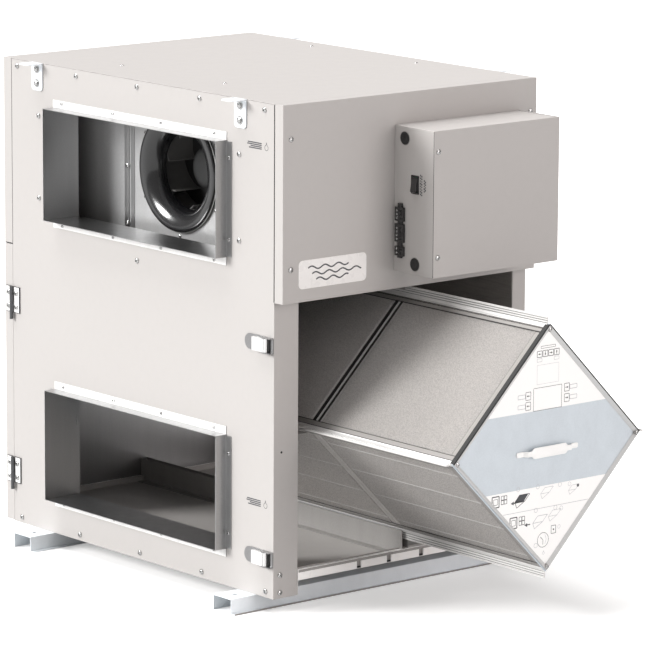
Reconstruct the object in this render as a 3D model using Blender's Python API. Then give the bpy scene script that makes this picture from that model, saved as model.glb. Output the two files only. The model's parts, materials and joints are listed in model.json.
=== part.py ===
"""Cabinet heat recovery unit, with its cross-flow core pulled half out of the service side.

Metres, +Z up. The origin is the centre of the cabinet's underside, which stands on two foot rails.
+X runs along the service side, from the left end to the right end, and -Y points out of that side.
Most pieces are folded sheet, so most are built from the boxes that their flat walls fill.
"""

import math

import bmesh
import bpy
import numpy as np
from mathutils import Matrix, Vector

# ---- driving dimensions -------------------------------------------------------------------
CABINET_LENGTH = 0.772
CABINET_WIDTH = 1.070
CABINET_HEIGHT = 1.150
FOOT_HEIGHT = 0.037
SERVICE_PANEL_DEPTH = 0.030
REAR_PANEL_DEPTH = 0.032
UPPER_PANEL_BOTTOM = 0.694
LEFT_WALL = 0.072
RIGHT_WALL = 0.042
SKIN = 0.0012
LINER = 0.0010
GAP = 0.0003  # between touching pieces
SEAM = 0.0006  # between painted panels

PORT_WIDTH = 0.665
PORT_HEIGHT = 0.272
PORT_BOTTOMS = {"lower": 0.088, "upper": 0.776}
COLLAR_STANDS_OUT = 0.033
COLLAR_FLANGE = 0.019

CORE_SIDE = 0.398
CORE_LENGTH = 0.996
CORE_FRONT = -0.991  # pulled out
CORE_Z = 0.386
CORE_PLATES = 26
CORE_PLATE = 0.0008

BOX_LENGTH = 0.387
BOX_HEIGHT = 0.340
BOX_DEPTH = 0.138
BOX_LEFT = 0.332  # from the cabinet's left end
BOX_BOTTOM = 0.737

SILL_GROOVES = (-0.142, -0.050, 0.050, 0.142)  # from the core's middle

FOOT_WIDTH = 0.067
FOOT_LIP = 0.012
FOOT_SHEET = 0.002
FOOT_OVERHANG = 0.073
FOOT_CENTRES = (0.127, 0.907)  # from the service side
ANCHOR_REACH = 0.035  # from the end wall to the anchor hole
ANCHOR_RADIUS = 0.0065

IMPELLER_RADIUS = 0.140
IMPELLER_BLADES = 7
ROUND_STEPS = 32

# ---- places that follow from them -----------------------------------------------------------
HALF_LENGTH = CABINET_LENGTH / 2
HALF_WIDTH = CABINET_WIDTH / 2
TOP = CABINET_HEIGHT
WALL_FRONT = -HALF_WIDTH + SERVICE_PANEL_DEPTH
WALL_REAR = HALF_WIDTH - REAR_PANEL_DEPTH
DECK_TOP = UPPER_PANEL_BOTTOM
INSIDE_LEFT = -HALF_LENGTH + LEFT_WALL + LINER
INSIDE_RIGHT = HALF_LENGTH - RIGHT_WALL - LINER
CORE_X = (INSIDE_LEFT + INSIDE_RIGHT) / 2
CORE_CORNER = CORE_SIDE / math.sqrt(2)
FAN_Z = (DECK_TOP + TOP) / 2
LINER_TOP = TOP - 0.032
PORT_HALF = PORT_WIDTH / 2
BOX_X0 = -HALF_LENGTH + BOX_LEFT
BOX_X1 = BOX_X0 + BOX_LENGTH
BOX_Y1 = -HALF_WIDTH - GAP
BOX_Y0 = -HALF_WIDTH - BOX_DEPTH
BOX_Z0 = BOX_BOTTOM
BOX_Z1 = BOX_Z0 + BOX_HEIGHT

# ---- finishes: colour, roughness, metallic ---------------------------------------------------
PAINT = ((0.76, 0.73, 0.70), 0.45, 0.0)
ZINC = ((0.62, 0.65, 0.68), 0.38, 0.9)
ALUMINIUM = ((0.74, 0.75, 0.76), 0.32, 1.0)
PAN_GREY = ((0.60, 0.61, 0.60), 0.5, 0.3)
BLACK_PLASTIC = ((0.015, 0.015, 0.017), 0.35, 0.0)
WHITE_PLASTIC = ((0.82, 0.82, 0.80), 0.4, 0.0)
BOARD_GREEN = ((0.03, 0.16, 0.07), 0.5, 0.0)
MOTOR_GREY = ((0.22, 0.23, 0.24), 0.5, 0.7)


# ---- tools -----------------------------------------------------------------------------------
# Frames that stand an (x, y) outline up: across Y and Z, extruded along X, or across X and Z.
UPRIGHT_YZ = Matrix(((0, 0, 1, 0), (1, 0, 0, 0), (0, 1, 0, 0), (0, 0, 0, 1)))
UPRIGHT_XZ = Matrix(((1, 0, 0, 0), (0, 0, -1, 0), (0, 1, 0, 0), (0, 0, 0, 1)))


def clear_scene():
    for old in list(bpy.data.objects):
        bpy.data.objects.remove(old, do_unlink=True)


def own_material(name, finish):
    color, roughness, metallic = finish
    made = bpy.data.materials.new(name)
    made.use_nodes = True
    shader = made.node_tree.nodes["Principled BSDF"]
    shader.inputs["Base Color"].default_value = (*color, 1.0)
    shader.inputs["Roughness"].default_value = roughness
    shader.inputs["Metallic"].default_value = metallic
    return made


def object_from(name, bm, finish=None):
    """A new object that holds bm. With no finish it is a helper that other pieces cut or join."""
    bmesh.ops.recalc_face_normals(bm, faces=bm.faces)
    mesh = bpy.data.meshes.new(name)
    bm.to_mesh(mesh)
    bm.free()
    made = bpy.data.objects.new(name, mesh)
    bpy.context.scene.collection.objects.link(made)
    if finish is None:
        made.hide_render = True
        made.display_type = "WIRE"
    else:
        mesh.materials.append(own_material(name, finish))
    return made


def box(x0, x1, y0, y1, z0, z1):
    return ((min(x0, x1), min(y0, y1), min(z0, z1)), (max(x0, x1), max(y0, y1), max(z0, z1)))


def grid_lines(boxes, axis):
    return sorted({round(corner[axis], 6) for ends in boxes for corner in ends})


def box_mesh(walls, cuts=()):
    """A bmesh of the space inside any wall box and outside every cut box, closed where they meet."""
    lines = [grid_lines((*walls, *cuts), axis) for axis in range(3)]
    filled = np.zeros([len(values) + 1 for values in lines], bool)
    for boxes, state in ((walls, True), (cuts, False)):
        for low, high in boxes:
            span = [
                slice(values.index(round(low[a], 6)) + 1, values.index(round(high[a], 6)) + 1)
                for a, values in enumerate(lines)
            ]
            filled[tuple(span)] = state
    bm = bmesh.new()
    points = {}

    def point(index):
        if index not in points:
            points[index] = bm.verts.new([lines[a][index[a]] for a in range(3)])
        return points[index]

    for axis in range(3):
        step = np.diff(filled.astype(int), axis=axis)
        across, along = (axis + 1) % 3, (axis + 2) % 3
        for cell in np.argwhere(step != 0):
            corners = []
            for a, b in ((0, 0), (1, 0), (1, 1), (0, 1)):
                index = [int(value) for value in cell]
                index[across] += a - 1
                index[along] += b - 1
                corners.append(point(tuple(index)))
            bm.faces.new(corners if step[tuple(cell)] < 0 else corners[::-1])
    bmesh.ops.dissolve_limit(bm, angle_limit=0.001, verts=bm.verts, edges=bm.edges)
    return bm


def sheet_piece(name, finish, walls, cuts=()):
    return object_from(name, box_mesh(walls, cuts), finish)


def prism_mesh(outline, z0, z1):
    """A bmesh of a closed outline of (x, y) points, extruded from z0 to z1."""
    bm = bmesh.new()
    low = [bm.verts.new((x, y, z0)) for x, y in outline]
    high = [bm.verts.new((x, y, z1)) for x, y in outline]
    bm.faces.new(low[::-1])
    bm.faces.new(high)
    for i in range(len(outline)):
        j = (i + 1) % len(outline)
        bm.faces.new((low[i], low[j], high[j], high[i]))
    return bm


def turned_mesh(outline, steps=ROUND_STEPS):
    """A bmesh of (radius, height) points turned about Z. The outline is closed, or ends on the axis."""
    bm = bmesh.new()
    rings = []
    for radius, height in outline:
        if radius == 0:
            rings.append([bm.verts.new((0, 0, height))])
            continue
        angles = [2 * math.pi * i / steps for i in range(steps)]
        ring = [bm.verts.new((radius * math.cos(a), radius * math.sin(a), height)) for a in angles]
        rings.append(ring)
    closed = outline[0][0] != 0
    for first, second in zip(rings, rings[1:] + rings[:1] if closed else rings[1:]):
        for i in range(steps):
            j = (i + 1) % steps
            corners = [first[i % len(first)], first[j % len(first)]]
            corners += [second[j % len(second)], second[i % len(second)]]
            bm.faces.new(list(dict.fromkeys(corners)))
    return bm


def smooth(obj, angle=math.radians(35)):
    obj.data.shade_smooth()
    obj.data.set_sharp_from_angle(angle=angle)
    return obj


def boolean(target, other, operation):
    modifier = target.modifiers.new(f"{operation.lower()} {other.name}", "BOOLEAN")
    modifier.operation = operation
    modifier.solver = "EXACT"
    modifier.object = other
    return target


def place(obj, frame):
    obj.matrix_world = frame @ obj.matrix_world
    return obj


def joined(target, name, bm, frame=Matrix()):
    """Adds the shape in bm to target, as one body with it."""
    return boolean(target, place(object_from(name, bm), frame), "UNION")


def drilled(target, centre, axis, radius, length=0.02, steps=16):
    """Cuts one round hole through target."""
    count = len(target.modifiers)
    end = length / 2
    bm = turned_mesh([(0, end), (radius, end), (radius, -end), (0, -end)], steps)
    cutter = object_from(f"{target.name}_drill_{count}", bm)
    turn = Vector((0, 0, 1)).rotation_difference(Vector(axis)).to_matrix().to_4x4()
    place(cutter, Matrix.Translation(centre) @ turn)
    return boolean(target, cutter, "DIFFERENCE")


def joint_point(name, location):
    """An empty on a joint's axis. The pieces that move with the joint hang from it."""
    empty = bpy.data.objects.new(name, None)
    empty.location = location
    empty.empty_display_size = 0.05
    bpy.context.scene.collection.objects.link(empty)
    return empty


def hang(empty, *pieces):
    bpy.context.view_layer.update()
    for piece in pieces:
        piece.parent = empty
        piece.matrix_parent_inverse = empty.matrix_world.inverted()


def arc(centre, radius, start, end, steps):
    """Points on a circular arc, angles in degrees."""
    angles = [math.radians(start + (end - start) * i / steps) for i in range(steps + 1)]
    return [(centre[0] + radius * math.cos(a), centre[1] + radius * math.sin(a)) for a in angles]


# ---- end walls -------------------------------------------------------------------------------
SIDES = {"left": (-1, LEFT_WALL), "right": (1, RIGHT_WALL)}


def end_box(side, depth0, depth1, y0, y1, z0, z1):
    """A box at an end wall, with depths measured inwards from the wall's outer face."""
    sign = SIDES[side][0]
    return box(sign * (HALF_LENGTH - depth0), sign * (HALF_LENGTH - depth1), y0, y1, z0, z1)


def port_cuts(side, depth0, depth1, clearance):
    cuts = []
    for bottom in PORT_BOTTOMS.values():
        z0 = bottom - clearance
        z1 = bottom + PORT_HEIGHT + clearance
        cuts.append(end_box(side, depth0, depth1, -PORT_HALF - clearance, PORT_HALF + clearance, z0, z1))
    return cuts


def end_panel(side):
    """The painted skin, folded round the front, the back and the bottom of the wall."""
    depth = SIDES[side][1] - GAP
    top = TOP - SKIN - SEAM
    walls = [
        end_box(side, 0, SKIN, WALL_FRONT, WALL_REAR, 0, top),
        end_box(side, 0, depth, WALL_FRONT, WALL_FRONT + SKIN, 0, top),
        end_box(side, 0, depth, WALL_REAR - SKIN, WALL_REAR, 0, top),
        end_box(side, 0, depth, WALL_FRONT, WALL_REAR, 0, SKIN),
    ]
    return sheet_piece(f"end_panel_{side}", PAINT, walls, port_cuts(side, 0, SKIN, GAP))


def end_liner(side):
    """The galvanised inner sheet, with two ledges that keep the core's side fin in line."""
    depth = SIDES[side][1]
    ledge_reach = 0.030
    ledge_gap = 0.007
    front, rear = WALL_FRONT + SKIN + SEAM, WALL_REAR - SKIN - SEAM
    walls = [end_box(side, depth, depth + LINER, front, rear, 0.003, LINER_TOP)]
    for sign in (-1, 1):
        near, far = CORE_Z + sign * ledge_gap, CORE_Z + sign * (ledge_gap + LINER)
        walls.append(end_box(side, depth, depth + LINER + ledge_reach, front, rear, near, far))
    return sheet_piece(f"end_liner_{side}", ZINC, walls, port_cuts(side, depth, depth + LINER, GAP))


def duct_collar(side, level):
    """A rectangular sleeve through the wall, with a screw flange folded out on each of its sides."""
    depth = SIDES[side][1] + LINER
    z0 = PORT_BOTTOMS[level]
    z1 = z0 + PORT_HEIGHT
    notch = 0.002
    near, far = -GAP - SKIN, -GAP
    half, wide, inner = PORT_HALF, PORT_HALF + COLLAR_FLANGE, PORT_HALF - SKIN
    hollow = end_box(side, -COLLAR_STANDS_OUT, depth, -inner, inner, z0 + SKIN, z1 - SKIN)
    walls = [
        end_box(side, -COLLAR_STANDS_OUT, depth, -half, half, z0, z1),
        end_box(side, near, far, -half, half, z0 - COLLAR_FLANGE, z1 + COLLAR_FLANGE),
        end_box(side, near, far, -wide, wide, z0 + notch, z1 - notch),
    ]
    return sheet_piece(f"duct_collar_{level}_{side}", ZINC, walls, [hollow])


def hanging_bracket(name, side, y):
    """An angle bolted to the end wall's top edge, with a hole for a threaded rod."""
    sign = SIDES[side][0]
    width, drop, reach, sheet, corner = 0.042, 0.068, 0.045, 0.003, 0.009
    rod_hole, bolt_hole = 0.0055, 0.0045
    half = width / 2
    leg = [(half, 0), *arc((half - corner, -drop + corner), corner, 0, -90, 4)]
    leg += [(-px, py) for px, py in reversed(leg)]
    face = sign * (HALF_LENGTH + GAP)
    outer = sign * sheet
    bracket = object_from(name, prism_mesh(leg, min(0, outer), max(0, outer)), ZINC)
    place(bracket, Matrix.Translation((face, y, TOP)) @ UPRIGHT_YZ)
    shelf = [(half, 0), *arc((half - corner, reach - corner), corner, 0, 90, 4)]
    shelf += [(-px, py) for px, py in reversed(shelf)]
    flat = Matrix(((0, sign, 0, 0), (1, 0, 0, 0), (0, 0, 1, 0), (0, 0, 0, 1)))
    shelf_frame = Matrix.Translation((face, y, TOP)) @ flat
    joined(bracket, f"{name}_shelf", prism_mesh(shelf, -sheet, 0), shelf_frame)
    drilled(bracket, (face + sign * 0.028, y, TOP), (0, 0, 1), rod_hole)
    for below in (0.016, 0.050):
        drilled(bracket, (face, y, TOP - below), (1, 0, 0), bolt_hole)
    return bracket


# ---- panels, roof and base ------------------------------------------------------------------
def roof_panel():
    flange = 0.026
    inset = SKIN + SEAM
    side, front, rear = HALF_LENGTH - inset, WALL_FRONT + inset, WALL_REAR - inset
    walls = [box(-HALF_LENGTH, HALF_LENGTH, WALL_FRONT, WALL_REAR, TOP - SKIN, TOP)]
    z0, z1 = TOP - flange, TOP - SKIN
    walls += [box(s * side, s * (side - SKIN), front, rear, z0, z1) for s in (-1, 1)]
    walls += [box(-side, side, front, front + SKIN, z0, z1), box(-side, side, rear - SKIN, rear, z0, z1)]
    return sheet_piece("roof_panel", PAINT, walls)


def tray(x0, x1, face, back, z0, z1):
    """The walls of a panel that is folded back on all four sides, from its face at y = face."""
    inward = SKIN if back > face else -SKIN
    return [
        box(x0, x1, face, face + inward, z0, z1),
        box(x0, x0 + SKIN, face, back, z0, z1),
        box(x1 - SKIN, x1, face, back, z0, z1),
        box(x0, x1, face, back, z0, z0 + SKIN),
        box(x0, x1, face, back, z1 - SKIN, z1),
    ]


def front_upper_panel():
    walls = tray(-HALF_LENGTH, HALF_LENGTH, -HALF_WIDTH, WALL_FRONT - SEAM, DECK_TOP, TOP)
    return sheet_piece("front_upper_panel", PAINT, walls)


def rear_upper_panel():
    walls = tray(-HALF_LENGTH, HALF_LENGTH, HALF_WIDTH, WALL_REAR + SEAM, DECK_TOP, TOP)
    return sheet_piece("rear_upper_panel", PAINT, walls)


def base_pan():
    """The floor sheet between the end walls, on a stiffener whose web is level with their undersides.

    Its front and back edges fold up as sills with pressed grooves, and then inwards.
    """
    floor, sill_top, lip = 0.034, 0.060, 0.010
    groove_depth, groove_half = 0.006, 0.008
    stiffener_half = 0.020
    x0, x1 = INSIDE_LEFT + GAP, INSIDE_RIGHT - GAP
    front, rear = WALL_FRONT + GAP, WALL_REAR - GAP
    walls = [
        box(x0, x1, front, rear, floor, floor + SKIN),
        box(x0, x0 + SKIN, front, rear, 0, floor),
        box(x1 - SKIN, x1, front, rear, 0, floor),
        box(x0, x1, -stiffener_half, stiffener_half, 0, SKIN),
        box(x0, x1, -stiffener_half, SKIN - stiffener_half, 0, floor),
    ]
    cuts = []
    for face, inward in ((front, 1), (rear, -1)):
        walls.append(box(x0, x1, face, face + inward * SKIN, floor, sill_top))
        walls.append(box(x0, x1, face, face + inward * lip, sill_top - SKIN, sill_top))
        pressed = face + inward * groove_depth
        for offset in SILL_GROOVES:
            x, half = CORE_X + offset, groove_half
            walls.append(box(x - half, x + half, face, pressed + inward * SKIN, floor, sill_top))
            half -= SKIN
            cuts.append(box(x - half, x + half, face, pressed, floor + SKIN, sill_top - SKIN))
    return sheet_piece("base_pan", PAINT, walls, cuts)


def drain_pan():
    """The tray that catches condensate under the core."""
    floor, rim = 0.047, 0.062
    x0, x1 = INSIDE_LEFT + 2 * GAP, INSIDE_RIGHT - 2 * GAP
    edge = 0.0115
    y0, y1 = WALL_FRONT + edge, WALL_REAR - edge
    hollow = box(x0 + LINER, x1 - LINER, y0 + LINER, y1 - LINER, floor + LINER, rim)
    return sheet_piece("drain_pan", PAN_GREY, [box(x0, x1, y0, y1, floor, rim)], [hollow])


def core_bottom_rail():
    """The slotted rail that carries the core's lower fin and parts the two lower air chambers."""
    foot, slot, wall = 0.030, 0.0085, 0.0015
    z0, z1 = 0.047 + LINER + GAP, 0.104
    shelf = 0.081
    y0, y1 = WALL_FRONT + 0.014, WALL_REAR - 0.014
    walls = [box(CORE_X - foot, CORE_X + foot, y0, y1, z0, z0 + wall)]
    walls += [box(CORE_X + s * slot, CORE_X + s * (slot + wall), y0, y1, z0, z1) for s in (-1, 1)]
    walls.append(box(CORE_X - slot, CORE_X + slot, y0, y1, shelf - wall, shelf))
    inner = box(CORE_X - slot, CORE_X + slot, y0, y1, z0, z0 + wall)
    return sheet_piece("core_bottom_rail", ZINC, walls, [inner])


def deck_panel():
    """The floor of the fan section, with one air opening for each fan and the core's top guide."""
    x0, x1 = INSIDE_LEFT + GAP, INSIDE_RIGHT - GAP
    y0, y1 = WALL_FRONT + 0.001, WALL_REAR - 0.001
    flange, guide, slot = 0.020, 0.0145, 0.0065
    near, far, half_opening = 0.035, 0.240, 0.400
    walls = [
        box(x0, x1, y0, y1, DECK_TOP - SKIN, DECK_TOP),
        box(x0, x1, y0, y0 + SKIN, DECK_TOP, DECK_TOP + flange),
        box(x0, x1, y1 - SKIN, y1, DECK_TOP, DECK_TOP + flange),
    ]
    z0 = DECK_TOP - guide
    walls += [box(CORE_X + s * slot, CORE_X + s * (slot + SKIN), y0, y1, z0, DECK_TOP) for s in (-1, 1)]
    cuts = [
        box(CORE_X + s * near, CORE_X + s * far, -half_opening, half_opening, DECK_TOP - SKIN, DECK_TOP)
        for s in (-1, 1)
    ]
    return sheet_piece("deck_panel", ZINC, walls, cuts)


def fan_divider():
    """The upright sheet between the two fan chambers."""
    flange = 0.018
    y0, y1 = WALL_FRONT + 0.004, WALL_REAR - 0.004
    z0, z1 = DECK_TOP + GAP, LINER_TOP
    half = SKIN / 2
    walls = [
        box(CORE_X - half, CORE_X + half, y0, y1, z0, z1),
        box(CORE_X - half, CORE_X + flange, y0, y1, z0, z0 + SKIN),
        box(CORE_X - half, CORE_X + flange, y0, y1, z1 - SKIN, z1),
    ]
    return sheet_piece("fan_divider", ZINC, walls)


def support_rail(name, y):
    """A top-hat foot rail with an anchor hole near each end."""
    half, sheet, lip = FOOT_WIDTH / 2, FOOT_SHEET, FOOT_LIP
    low, high = -FOOT_HEIGHT, -GAP
    right = [(half + lip, low), (half + lip, low + sheet), (half, low + sheet), (half, high)]
    under = [(half - sheet, high - sheet), (half - sheet, low)]
    outline = right + [(-px, pz) for px, pz in reversed(right)]
    outline += [(-px, pz) for px, pz in reversed(under)] + under
    end = HALF_LENGTH + FOOT_OVERHANG
    rail = object_from(name, prism_mesh(outline, -end, end), ZINC)
    place(rail, Matrix.Translation((0, y, 0)) @ UPRIGHT_YZ)
    for sign in (-1, 1):
        drilled(rail, (sign * (HALF_LENGTH + ANCHOR_REACH), y, high), (0, 0, 1), ANCHOR_RADIUS)
    return rail


# ---- rear door, hinges and latches -----------------------------------------------------------
HINGE_AXIS = Vector((-HALF_LENGTH - 0.007, WALL_REAR - 0.002, 0))
HINGE_HEIGHTS = {"lower": 0.098, "upper": 0.524}  # the leaf's lower edge
LEAF_HEIGHT, LEAF_WIDTH, LEAF_SHEET = 0.065, 0.024, 0.0025
BARREL_RADIUS, BARREL_TAIL = 0.0045, 0.016
BARREL_MIDDLE = LEAF_HEIGHT * 0.37  # where the lower barrel ends and the upper one starts
LEAF_CLEAR = 0.0033  # from the joint axis to each leaf
PIN_RADIUS = 0.0022
HALF_TURN = Matrix.Translation((0, WALL_FRONT + WALL_REAR, 0)) @ Matrix.Rotation(math.pi, 4, "Z")


def rear_door():
    z0, z1 = 0.002, DECK_TOP - 0.002
    inner = WALL_REAR + SEAM
    skin = sheet_piece("rear_door_skin", PAINT, tray(-HALF_LENGTH, HALF_LENGTH, HALF_WIDTH, inner, z0, z1))
    x1 = HALF_LENGTH - SKIN - GAP
    inset = SKIN + GAP
    lining = box(-x1, x1, inner, inner + LINER, z0 + inset, z1 - inset)
    return [skin, sheet_piece("rear_door_liner", ZINC, [lining])]


def hinge_frame_half(name, z, frame):
    """The leaf on the cabinet, with the lower barrel and the pin that the door lifts off."""
    face = -HINGE_AXIS.x - HALF_LENGTH - GAP
    middle = BARREL_MIDDLE
    leaf = box(face - LEAF_SHEET, face, -LEAF_CLEAR - LEAF_WIDTH, -LEAF_CLEAR, 0, LEAF_HEIGHT)
    neck = box(0.0005, face, -LEAF_CLEAR - 0.001, 0.0005, 0, middle)
    half = object_from(name, box_mesh([leaf, neck]), ZINC)
    pin_top = LEAF_HEIGHT - 0.006
    barrel = [(0, -BARREL_TAIL), (BARREL_RADIUS, -BARREL_TAIL), (BARREL_RADIUS, middle)]
    barrel += [(PIN_RADIUS, middle), (PIN_RADIUS, pin_top), (0, pin_top)]
    joined(half, f"{name}_barrel", turned_mesh(barrel, 16))
    bpy.data.objects[f"{name}_barrel"].parent = half
    return place(half, frame @ Matrix.Translation((0, 0, z)))


def hinge_door_half(name, z, frame):
    """The leaf on the door's edge, with the upper barrel, which is bored for the pin."""
    face = -HINGE_AXIS.x - HALF_LENGTH - GAP
    middle = BARREL_MIDDLE + 2 * GAP
    leaf = box(face - LEAF_SHEET, face, LEAF_CLEAR, LEAF_CLEAR + LEAF_WIDTH, 0, LEAF_HEIGHT)
    neck = box(0.0025, face, 0.0025, 0.006, middle, LEAF_HEIGHT)
    half = object_from(name, box_mesh([leaf, neck]), ZINC)
    bore = PIN_RADIUS + GAP
    barrel = [(bore, middle), (BARREL_RADIUS, middle), (BARREL_RADIUS, LEAF_HEIGHT), (bore, LEAF_HEIGHT)]
    joined(half, f"{name}_barrel", turned_mesh(barrel, 16))
    bpy.data.objects[f"{name}_barrel"].parent = half
    return place(half, frame @ Matrix.Translation((0, 0, z)))


LATCH_HEIGHTS = {"lower": 0.093, "upper": 0.594}
LATCH_AXIS = Vector((-HALF_LENGTH - 0.009, WALL_FRONT + 0.020, 0))
LATCH_HALF_HEIGHT = 0.0185
LATCH_PIN = 0.0018
EAR = 0.0020


def latch_plate(name, frame):
    """The D-shaped plate screwed to the end wall, with the two long ears that hold the lever's pin."""
    face = -LATCH_AXIS.x - HALF_LENGTH - GAP
    reach, sheet, front = 0.083, 0.0025, -0.019
    radius = LATCH_HALF_HEIGHT
    outline = [(front, -radius), *arc((reach - radius, 0), radius, -90, 90, 10), (front, radius)]
    plate = object_from(name, prism_mesh(outline, face - sheet, face), ZINC)
    plate.data.transform(UPRIGHT_YZ)
    outer, back = -0.0045, 0.0100
    ears = [box(outer, face - 0.001, front, back, s * (radius - EAR), s * radius) for s in (-1, 1)]
    joined(plate, f"{name}_ears", box_mesh(ears))
    pin_end = radius - EAR / 2
    pin = turned_mesh([(0, -pin_end), (LATCH_PIN, -pin_end), (LATCH_PIN, pin_end), (0, pin_end)], 12)
    joined(plate, f"{name}_pin", pin)
    for helper in ("ears", "pin"):
        bpy.data.objects[f"{name}_{helper}"].parent = plate
    return place(plate, frame)


def latch_lever(name, frame):
    """The lever: a flat-sided block, curled round the pin at one end, that pulls away from the wall."""
    half = LATCH_HALF_HEIGHT - EAR - 2 * GAP
    bore, outer, thick = LATCH_PIN + GAP, 0.0048, 0.0045
    block = box(-0.0055, thick, 0.0035, 0.044, -half, half)
    lever = object_from(name, box_mesh([block]), ALUMINIUM)
    barrel = turned_mesh([(bore, -half), (outer, -half), (outer, half), (bore, half)], 16)
    joined(lever, f"{name}_barrel", barrel)
    bpy.data.objects[f"{name}_barrel"].parent = lever
    return place(lever, frame)


# ---- control box -----------------------------------------------------------------------------
COVER_EDGE = 0.007
COVER_AXIS = Vector((BOX_X1 + 0.003, BOX_Y1 - 0.006, BOX_Z0))
SWITCH_Y, SWITCH_Z = -HALF_WIDTH - 0.0725, 0.9465
SWITCH_HOLE, SWITCH_TALL = 0.023, 0.038


def control_box_body():
    """The back sheet with the left side, the floor and the top folded forward, and the switch's hole."""
    x0, x1, y0, y1, z0, z1 = BOX_X0, BOX_X1 - COVER_EDGE, BOX_Y0 + SKIN + GAP, BOX_Y1, BOX_Z0, BOX_Z1
    near, far = SWITCH_Y - SWITCH_HOLE / 2, SWITCH_Y + SWITCH_HOLE / 2
    switch_hole = box(x0, x0 + SKIN, near, far, SWITCH_Z - SWITCH_TALL / 2, SWITCH_Z + SWITCH_TALL / 2)
    walls = [
        box(x0, x1, y1 - SKIN, y1, z0, z1),
        box(x0, x0 + SKIN, y0, y1, z0, z1),
        box(x0, x1, y0, y1, z0, z0 + SKIN),
        box(x0, x1, y0, y1, z1 - SKIN, z1),
    ]
    return sheet_piece("control_box_body", PAINT, walls, [switch_hole])


def control_box_cover():
    """The front sheet and the right side, folded as one, with narrow edges over the box's walls."""
    x0, x1, y0, y1, z0, z1 = BOX_X0, BOX_X1, BOX_Y0, BOX_Y1 - 0.004, BOX_Z0, BOX_Z1
    edge = x1 - COVER_EDGE + GAP
    walls = [
        box(x0, x1, y0, y0 + SKIN, z0, z1),
        box(x1 - SKIN, x1, y0, y1, z0, z1),
        box(edge, x1, y0, COVER_AXIS.y - 0.001, z0, z0 + SKIN),
        box(edge, x1, y0, COVER_AXIS.y - 0.001, z1 - SKIN, z1),
    ]
    return sheet_piece("control_box_cover", PAINT, walls)


def controller_board():
    """The board on four standoffs, with its transformer, three relays and the terminal strip."""
    back = BOX_Y1 - SKIN - GAP
    standoff, sheet, leg = 0.012, 0.0016, 0.008
    face = back - standoff
    front = face - sheet
    x0, x1, z0, z1 = BOX_X0 + 0.035, BOX_X1 - 0.060, BOX_Z0 + 0.030, BOX_Z1 - 0.030
    walls = [box(x0, x1, front, face, z0, z1)]
    for x in (x0 + 0.010, x1 - 0.018):
        for z in (z0 + 0.010, z1 - 0.018):
            walls.append(box(x, x + leg, face, back, z, z + leg))
    transformer, relay, strip = 0.045, 0.016, 0.014  # how far each stands off the board
    walls.append(box(x0 + 0.02, x0 + 0.08, front - transformer, front, z1 - 0.09, z1 - 0.03))
    for step in range(3):
        x = x0 + 0.12 + 0.03 * step
        walls.append(box(x, x + 0.018, front - relay, front, z0 + 0.09, z0 + 0.12))
    walls.append(box(x0 + 0.02, x1 - 0.02, front - strip, front, z0 + 0.006, z0 + 0.022))
    return sheet_piece("controller_board", BOARD_GREEN, walls)


def switch_rocker():
    """The rocker, at rest with its upper half pressed in."""
    half, high, low, back = 0.0095, 0.017, 0.012, 0.006
    outline = [(-0.002, high), (-0.0055, 0), (-0.008, -high), (back, -low), (back, low)]
    rocker = object_from("switch_rocker", prism_mesh(outline, -half, half), BLACK_PLASTIC)
    rocker.data.transform(UPRIGHT_XZ)
    rocker.location = (BOX_X0, SWITCH_Y, SWITCH_Z)
    return rocker


def field_connector():
    """Three stacked plug bodies on the left side of the control box, with a key at each end."""
    near, far, waist = BOX_X0 - GAP, BOX_X0 - 0.007, BOX_X0 - 0.005
    y0, y1 = -HALF_WIDTH - 0.0385, -HALF_WIDTH - 0.0095
    key = 0.0075
    walls = [box(near, waist, y0 + key, y1 - key, 0.770, 0.898)]
    for low, high in ((0.775, 0.797), (0.807, 0.850), (0.856, 0.889)):
        walls.append(box(near, far, y0, y1, low, high))
    return sheet_piece("field_connector", BLACK_PLASTIC, walls)


# ---- fans: heights are distances from the plane between the two fan chambers -----------------
PLATE_AT = 0.276
THROAT_RADIUS, BELL_RADIUS, RIM_RADIUS = 0.092, 0.137, 0.145
BELL_DEPTH, BELL_WALL, THROAT_AT = 0.042, 0.003, 0.247
SHROUD_EYE, SHROUD_FRONT, SHROUD_BACK = 0.098, 0.251, 0.229
DISC_FRONT, DISC_BACK = 0.165, 0.162


def fan_frame(side):
    turn = Matrix.Rotation(SIDES[side][0] * math.pi / 2, 4, "Y")
    return Matrix.Translation((CORE_X, 0, FAN_Z)) @ turn


def fan_bulkhead(side):
    sign = SIDES[side][0]
    near, far = CORE_X + sign * (PLATE_AT - SKIN), CORE_X + sign * PLATE_AT
    y0, y1 = WALL_FRONT + 0.004, WALL_REAR - 0.004
    flange = 0.018
    z0, z1 = DECK_TOP + GAP, LINER_TOP
    back = CORE_X + sign * (PLATE_AT - flange)
    walls = [
        box(near, far, y0, y1, z0, z1),
        box(back, far, y0, y1, z0, z0 + SKIN),
        box(back, far, y0, y1, z1 - SKIN, z1),
    ]
    plate = sheet_piece(f"fan_bulkhead_{side}", ZINC, walls)
    return drilled(plate, (far, 0, FAN_Z), (1, 0, 0), 0.125, 0.02, ROUND_STEPS)


def bell_curve(wall, steps=6):
    """The flare from the throat out to the bell's edge, drawn in by the wall's thickness."""
    points = []
    for i in range(steps + 1):
        turn = math.pi / 2 * i / steps
        radius = BELL_RADIUS - (BELL_RADIUS - THROAT_RADIUS - wall) * math.cos(turn)
        points.append((radius, THROAT_AT + (BELL_DEPTH - wall) * math.sin(turn)))
    return points


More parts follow.
